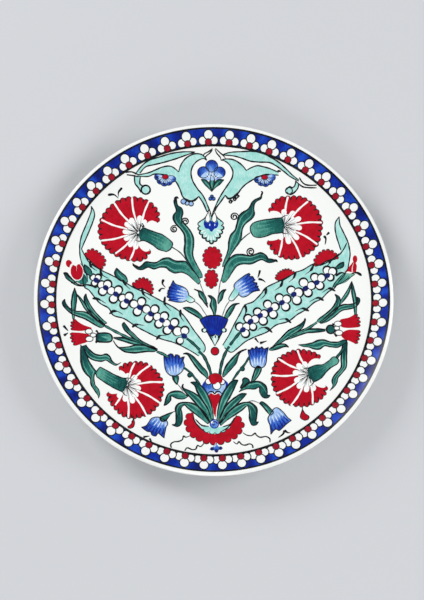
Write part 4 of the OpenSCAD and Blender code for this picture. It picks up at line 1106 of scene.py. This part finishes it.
INNER_LINE_R = 132.5       # middle of the black line round the design
INNER_LINE_W = 2.0
BAND_R = 146.8             # outer edge of the border
OUTER_LINE_W = 1.4
RING_STEP = 0.7            # width of a ring's rows of faces
BLOSSOMS = 51
BLOSSOM_START = 171.26     # degrees
BLOSSOM_R = 135.1          # how far from the plate's middle the hearts sit
HEART_R = 2.45
HEART_EDGE_R = 3.05        # the dark disc under a heart
SIDE_PETAL_R = 3.05
SIDE_PETAL_OUT = 1.2       # from the heart's middle, away from the plate's middle
SIDE_PETAL_ALONG = 4.8     # from the heart's middle, along the border
TOP_PETAL_R = 3.45
TOP_PETAL_OUT = 5.9
PETAL_EDGE = 0.9           # how far the dark disc under a petal reaches past it


def blossom_angle(i):
    """Where blossom i sits. They are evenly spaced but for two slow waves, as in the hand painted ring."""
    u = BLOSSOM_START - 360.0 * i / BLOSSOMS
    wave = 4.85 * math.sin(math.radians(u - 118.8)) + 0.41 * math.sin(math.radians(2 * u - 4.4))
    return math.radians(u + wave)


def ring_coat(motif, colour, r0, r1, level):
    """A flat ring of paint between two radii, its tone going up and down round the plate."""
    rows = max(2, int((r1 - r0) / RING_STEP) + 1)
    c = coat(motif, colour)
    base = len(c["v"])
    profile = [(r0 + (r1 - r0) * k / rows, level) for k in range(rows + 1)]
    profile += [(r1 - (r1 - r0) * k / rows, -ROOT) for k in range(rows + 1)]
    for i in range(TURN_STEPS):
        a = 2 * math.pi * i / TURN_STEPS
        tone = 0.5 + 0.5 * math.sin(48 * a + 3 * math.sin(5 * a)) * math.sin(7 * a + 1)
        for r, height in profile:
            x, y = r * math.cos(a), r * math.sin(a)
            c["v"].append((x, y, face(x, y) + height))
            c["tone"].append(tone)
    n = len(profile)
    for i in range(TURN_STEPS):
        for k in range(n):
            a, b = base + i * n, base + ((i + 1) % TURN_STEPS) * n
            c["f"].append((a + k, a + (k + 1) % n, b + (k + 1) % n, b + k)[::-1])


ring_coat("border_inner_line", "ink", INNER_LINE_R - INNER_LINE_W / 2, INNER_LINE_R + INNER_LINE_W / 2,
          LINE + 0.05)
ring_coat("border_cobalt_band", "cobalt", INNER_LINE_R + INNER_LINE_W / 2, BAND_R - OUTER_LINE_W / 2, FILL)
ring_coat("border_outer_line", "ink", BAND_R - OUTER_LINE_W, BAND_R, LINE)
for i in range(BLOSSOMS):
    a = blossom_angle(i)
    out = np.array((math.cos(a), math.sin(a)))
    along = np.array((-out[1], out[0]))
    heart = BLOSSOM_R * out
    parts = []
    for side in (-1, 1):
        centre = heart + SIDE_PETAL_OUT * out + side * SIDE_PETAL_ALONG * along
        parts.append((centre, SIDE_PETAL_R + rng.uniform(-0.1, 0.15)))
    centre = heart + TOP_PETAL_OUT * out + rng.uniform(-0.4, 0.4) * along
    parts.append((centre, TOP_PETAL_R + rng.uniform(-0.1, 0.15)))
    for k, (centre, r) in enumerate(parts):
        rise = FILL + 0.03 + 0.04 * k
        fill("border_blossom_hearts", "ink", disc(*centre, r + PETAL_EDGE), level=rise, grid=2)
        fill("border_blossom_hearts", "white", disc(*centre, r), level=rise + 0.025, grid=2)
    fill("border_blossom_hearts", "ink", disc(*heart, HEART_EDGE_R), level=FILL + 0.19, grid=2)
    fill("border_blossom_hearts", "crimson", disc(*heart, HEART_R), level=FILL + 0.21, grid=2)

# ---------- the glazed face ----------

def lathe(name, profile):
    """A solid of revolution about the plate's axis. The profile runs axis to axis, in millimetres."""
    verts = []
    faces = []
    rim = [p for p in profile if p[0] > 1e-6]
    for i in range(TURN_STEPS):
        a = 2 * math.pi * i / TURN_STEPS
        verts += [(r * math.cos(a), r * math.sin(a), z) for r, z in rim]
    n = len(rim)
    for i in range(TURN_STEPS):
        here, there = i * n, ((i + 1) % TURN_STEPS) * n
        for k in range(n - 1):
            faces.append((here + k, there + k, there + k + 1, here + k + 1))
    for k, z in ((0, profile[0][1]), (n - 1, profile[-1][1])):
        tip = len(verts)
        verts.append((0, 0, z))
        for i in range(TURN_STEPS):
            pair = (i * n + k, ((i + 1) % TURN_STEPS) * n + k)
            faces.append((tip,) + (pair[::-1] if k else pair))
    obj = solid(name, verts, faces, None)
    shell = bmesh.new()
    shell.from_mesh(obj.data)
    bmesh.ops.recalc_face_normals(shell, faces=shell.faces)
    shell.to_mesh(obj.data)
    shell.free()
    return obj


def solid(name, verts, faces, tones):
    """A mesh object of the plate, from millimetres, with the tone of each point of paint."""
    mesh = bpy.data.meshes.new(name)
    mesh.from_pydata([Vector(v) * MM for v in verts], [], faces)
    mesh.validate()
    if tones is not None:
        layer = mesh.attributes.new("tone", "FLOAT", "POINT")
        layer.data.foreach_set("value", tones)
    mesh.polygons.foreach_set("use_smooth", [True] * len(mesh.polygons))
    if tones is not None:
        mesh.set_sharp_from_angle(angle=math.radians(35))
    obj = bpy.data.objects.new(name, mesh)
    bpy.context.scene.collection.objects.link(obj)
    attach(obj, "root")
    return obj


def arc(cx, cz, r, a0, a1, count):
    """Points on an arc of the profile. Angles are in radians from straight down, towards the rim."""
    return [(cx + r * math.sin(a0 + (a1 - a0) * k / count), cz - r * math.cos(a0 + (a1 - a0) * k / count))
            for k in range(count + 1)]


# The glaze runs over the face and the lip, and ends where the clay's back curves down from the lip.
BACK_FLAT_R = 94.0
FLAT_RINGS = 24
CURVE_STEPS = 40
LIP_STEPS = 26
HIDDEN_STEPS = 16
back_z = back_low.z / MM
face_turn = math.asin((lip_x - FLAT_R) / (CURVE_R + LIP_R))
reach = lip_x - BACK_FLAT_R
rise = lip_z - (back_z + GLAZE)
back_r = (reach * reach + rise * rise - LIP_R * LIP_R) / (2 * (rise - LIP_R))
back_turn = math.atan2(reach, back_z + GLAZE + back_r - lip_z)
outer_lip = LIP_R + GLAZE
top = [(FLAT_R * k / FLAT_RINGS, clay_face + GLAZE) for k in range(FLAT_RINGS)]
top += arc(FLAT_R, clay_face + CURVE_R, CURVE_R - GLAZE, 0, face_turn, CURVE_STEPS)
over = arc(lip_x, lip_z, outer_lip, face_turn + math.pi, back_turn, LIP_STEPS)[1:]
under = arc(lip_x, lip_z, LIP_R, back_turn, face_turn + math.pi, HIDDEN_STEPS)
inner = arc(FLAT_R, clay_face + CURVE_R, CURVE_R, face_turn, 0, HIDDEN_STEPS)[1:] + [(0.0, clay_face)]
face_glaze = lathe("glazed_face", (top + over + under + inner)[::-1])
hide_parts("face_glaze")

# ---------- colours ----------

STREAK_SCALE = 900      # noise scales, in features per metre
GLOSS_SCALE = 60
RIPPLE_SCALE = 70
RIPPLE_HEIGHT = 0.0004
GLOSS_CHANGE = 0.08
SPECULAR = 0.22
COAT_ROUGH = 0.08


def linear(rgb):
    """A screen colour in 0 to 255 as the shader's linear one, with its alpha."""
    return [(c / 255 / 12.92 if c <= 10 else ((c / 255 + 0.055) / 1.055) ** 2.4) for c in rgb] + [1.0]


def node(tree, kind, **values):
    """A new shader node with some of its settings."""
    n = tree.nodes.new(kind)
    for key, value in values.items():
        setattr(n, key, value)
    return n


def noise(tree, place, scale, detail=3.0, stretch=(1, 1, 1)):
    """Noise in the object's own space. A stretch under 1 draws it out along that axis."""
    shift = node(tree, "ShaderNodeMapping")
    shift.inputs["Scale"].default_value = stretch
    tree.links.new(place.outputs["Object"], shift.inputs["Vector"])
    n = node(tree, "ShaderNodeTexNoise")
    n.inputs["Scale"].default_value = scale
    n.inputs["Detail"].default_value = detail
    tree.links.new(shift.outputs["Vector"], n.inputs["Vector"])
    return n.outputs["Fac"]


def math_node(tree, kind, a, b, clamp=False):
    """The output of a calculation with two values, each a number or another node's output."""
    n = node(tree, "ShaderNodeMath", operation=kind, use_clamp=clamp)
    for i, value in enumerate((a, b)):
        if isinstance(value, (int, float)):
            n.inputs[i].default_value = value
        else:
            tree.links.new(value, n.inputs[i])
    return n.outputs[0]


def glazed(name, stops, rough=0.18, cloud=0.45, cloud_scale=160, streak=0.35, coat=0.0, bump=0.15,
           toned=True):
    """A glassy painted finish. Its colour runs through the stops with tone, clouds and streaks."""
    mat = bpy.data.materials.new(name)
    mat.use_nodes = True
    tree = mat.node_tree
    shader = tree.nodes["Principled BSDF"]
    place = node(tree, "ShaderNodeTexCoord")
    clouds = math_node(tree, "MULTIPLY",
                       math_node(tree, "SUBTRACT", noise(tree, place, cloud_scale, 4), 0.5), cloud * 2)
    streaks = noise(tree, place, STREAK_SCALE, 2, (1, 0.35, 1))
    streaks = math_node(tree, "MULTIPLY", math_node(tree, "SUBTRACT", streaks, 0.5), streak * 2)
    change = math_node(tree, "ADD", clouds, streaks)
    if toned:
        tone = node(tree, "ShaderNodeAttribute", attribute_name="tone")
        value = math_node(tree, "ADD", tone.outputs["Fac"], change, True)
    else:
        value = math_node(tree, "ADD", 0.5, change, True)
    ramp = node(tree, "ShaderNodeValToRGB")
    keys = ramp.color_ramp.elements
    while len(keys) < len(stops):
        keys.new(0.5)
    for i, rgb in enumerate(stops):
        keys[i].position = i / (len(stops) - 1)
        keys[i].color = linear(rgb)
    tree.links.new(value, ramp.inputs["Fac"])
    tree.links.new(ramp.outputs["Color"], shader.inputs["Base Color"])
    gloss = math_node(tree, "MULTIPLY_ADD", noise(tree, place, GLOSS_SCALE, 2), 2 * GLOSS_CHANGE)
    gloss.node.inputs[2].default_value = rough - GLOSS_CHANGE
    tree.links.new(gloss, shader.inputs["Roughness"])
    shader.inputs["Specular IOR Level"].default_value = SPECULAR
    shader.inputs["Coat Weight"].default_value = coat
    shader.inputs["Coat Roughness"].default_value = COAT_ROUGH
    ripple = node(tree, "ShaderNodeBump")
    ripple.inputs["Strength"].default_value = bump
    ripple.inputs["Distance"].default_value = RIPPLE_HEIGHT
    tree.links.new(noise(tree, place, RIPPLE_SCALE, 3), ripple.inputs["Height"])
    tree.links.new(ripple.outputs["Normal"], shader.inputs["Normal"])
    return mat


# Each paint's material slot, its colours from tone 0 to tone 1, and its roughness.
finishes = {
    "red": ("coral_enamel", ((140, 0, 16), (182, 2, 30), (204, 10, 40)), 0.24),
    "crimson": ("coral_enamel", ((120, 4, 28), (156, 12, 36), (180, 30, 52)), 0.26),
    "white": ("white_enamel", ((234, 239, 237), (249, 250, 247), (252, 252, 250)), 0.16),
    "ink": ("black_enamel", ((6, 8, 12), (14, 17, 22), (30, 34, 40)), 0.20),
    "soft_ink": ("black_enamel", ((40, 50, 58), (88, 98, 104), (122, 132, 136)), 0.22),
    "green": ("green_enamel", ((4, 62, 62), (34, 112, 104), (98, 170, 152)), 0.20),
    "mint": ("green_enamel", ((52, 130, 116), (88, 162, 146), (128, 192, 174)), 0.20),
    "deep": ("green_enamel", ((6, 56, 54), (20, 88, 82), (40, 112, 102)), 0.20),
    "sky": ("sky_enamel", ((16, 50, 150), (66, 116, 208), (172, 204, 240)), 0.20),
    "pale": ("sky_enamel", ((170, 200, 236), (206, 224, 244), (232, 240, 248)), 0.18),
    "cobalt": ("cobalt_enamel", ((4, 22, 104), (6, 40, 156), (24, 76, 196)), 0.22),
    "navy": ("cobalt_enamel", ((8, 14, 60), (18, 30, 100), (30, 48, 130)), 0.22),
    "turquoise": ("turquoise_enamel", ((122, 200, 192), (168, 224, 216), (230, 248, 244)), 0.18),
}
enamels = {}
for colour, finish in finishes.items():
    enamels[colour] = glazed(colour + "_enamel", finish[1], finish[2])

# ---------- the paint as solids ----------

# Every piece of a motif rides on the plate, and the motif's CAD node is hidden once its first piece is made.
first_of = set()
for (motif, colour), data in coats.items():
    obj = solid(motif + "_" + colour, data["v"], data["f"], data["tone"])
    obj.data.materials.append(enamels[colour])
    if motif not in first_of:
        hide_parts(motif)
        first_of.add(motif)

white_glaze = glazed("white_glaze", ((240, 243, 239), (249, 250, 246), (252, 252, 249)), rough=0.14,
                     cloud=0.35, cloud_scale=14, streak=0.12, coat=0.8, bump=0.12, toned=False)
clay = glazed("fired_clay", ((214, 204, 188), (230, 222, 208), (240, 234, 224)), rough=0.62,
              cloud=0.5, cloud_scale=90, streak=0.4, bump=0.5, toned=False)
face_glaze.data.materials.append(white_glaze)
for name, finish in (("back_glaze", white_glaze), ("dish_body", clay), ("foot_ring", clay)):
    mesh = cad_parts[name].data
    mesh.materials.clear()
    mesh.materials.append(finish)

# ---------- floor, light and camera, in metres ----------

FLOOR = 3.0
FLOOR_Z = -0.0001
FLOOR_COLOUR = (0.62, 0.63, 0.65, 1)
corners = [(x, y, FLOOR_Z) for x, y in ((-FLOOR, -FLOOR), (FLOOR, -FLOOR), (FLOOR, FLOOR), (-FLOOR, FLOOR))]
floor_mesh = bpy.data.meshes.new("floor")
floor_mesh.from_pydata(corners, [], [(0, 1, 2, 3)])
floor = bpy.data.objects.new("floor", floor_mesh)
bpy.context.scene.collection.objects.link(floor)
floor_mat = bpy.data.materials.new("floor")
floor_mat.use_nodes = True
floor_shader = floor_mat.node_tree.nodes["Principled BSDF"]
floor_shader.inputs["Base Color"].default_value = FLOOR_COLOUR
floor_shader.inputs["Roughness"].default_value = 0.9
floor_mesh.materials.append(floor_mat)
LAMP_SIZE = 1.1


def lamp(name, place, power):
    """A soft round light that points at the plate."""
    light = bpy.data.lights.new(name, "AREA")
    light.shape = "DISK"
    light.size = LAMP_SIZE
    light.energy = power
    obj = bpy.data.objects.new(name, light)
    bpy.context.scene.collection.objects.link(obj)
    obj.location = place
    obj.rotation_mode = "QUATERNION"
    obj.rotation_quaternion = (-Vector(place)).to_track_quat("-Z", "Y")


lamp("window", (-1.5, 1.3, 1.15), 26)
lamp("fill_light", (1.9, 0.3, 1.1), 19)
lamp("low_light", (-0.2, -2.0, 1.15), 19)
world = bpy.data.worlds.new("studio")
world.use_nodes = True
sky = world.node_tree.nodes["Background"]
sky.inputs["Color"].default_value = (0.95, 0.97, 1, 1)
sky.inputs["Strength"].default_value = 0.47
bpy.context.scene.world = world
bpy.context.scene.view_settings.view_transform = "Standard"

VIEW_TURN = math.radians(-4.5)
VIEW_LIFT = math.radians(77.8)
VIEW_ROLL = math.radians(-4.1)
VIEW_FAR = 1.5
AIM_LIFT = 3.65    # the point aimed at is this far above the flat of the face, in millimetres
LENS = 107.7
SENSOR = 36
aim = Vector((0, 0, (clay_face + GLAZE + AIM_LIFT) * MM))
across = math.cos(VIEW_LIFT)
back = Vector((math.sin(VIEW_TURN) * across, -math.cos(VIEW_TURN) * across, math.sin(VIEW_LIFT)))
right = Vector((0, 0, 1)).cross(back).normalized()
up = back.cross(right)
right, up = (math.cos(VIEW_ROLL) * right - math.sin(VIEW_ROLL) * up,
             math.sin(VIEW_ROLL) * right + math.cos(VIEW_ROLL) * up)
lens = bpy.data.cameras.new("camera")
lens.lens = LENS
lens.sensor_width = SENSOR
lens.shift_x = -0.0032
lens.shift_y = -0.0043
camera = bpy.data.objects.new("camera", lens)
bpy.context.scene.collection.objects.link(camera)
turn = Matrix((right, up, back)).transposed().to_4x4()
camera.matrix_world = Matrix.Translation(aim + VIEW_FAR * back) @ turn
bpy.context.scene.camera = camera
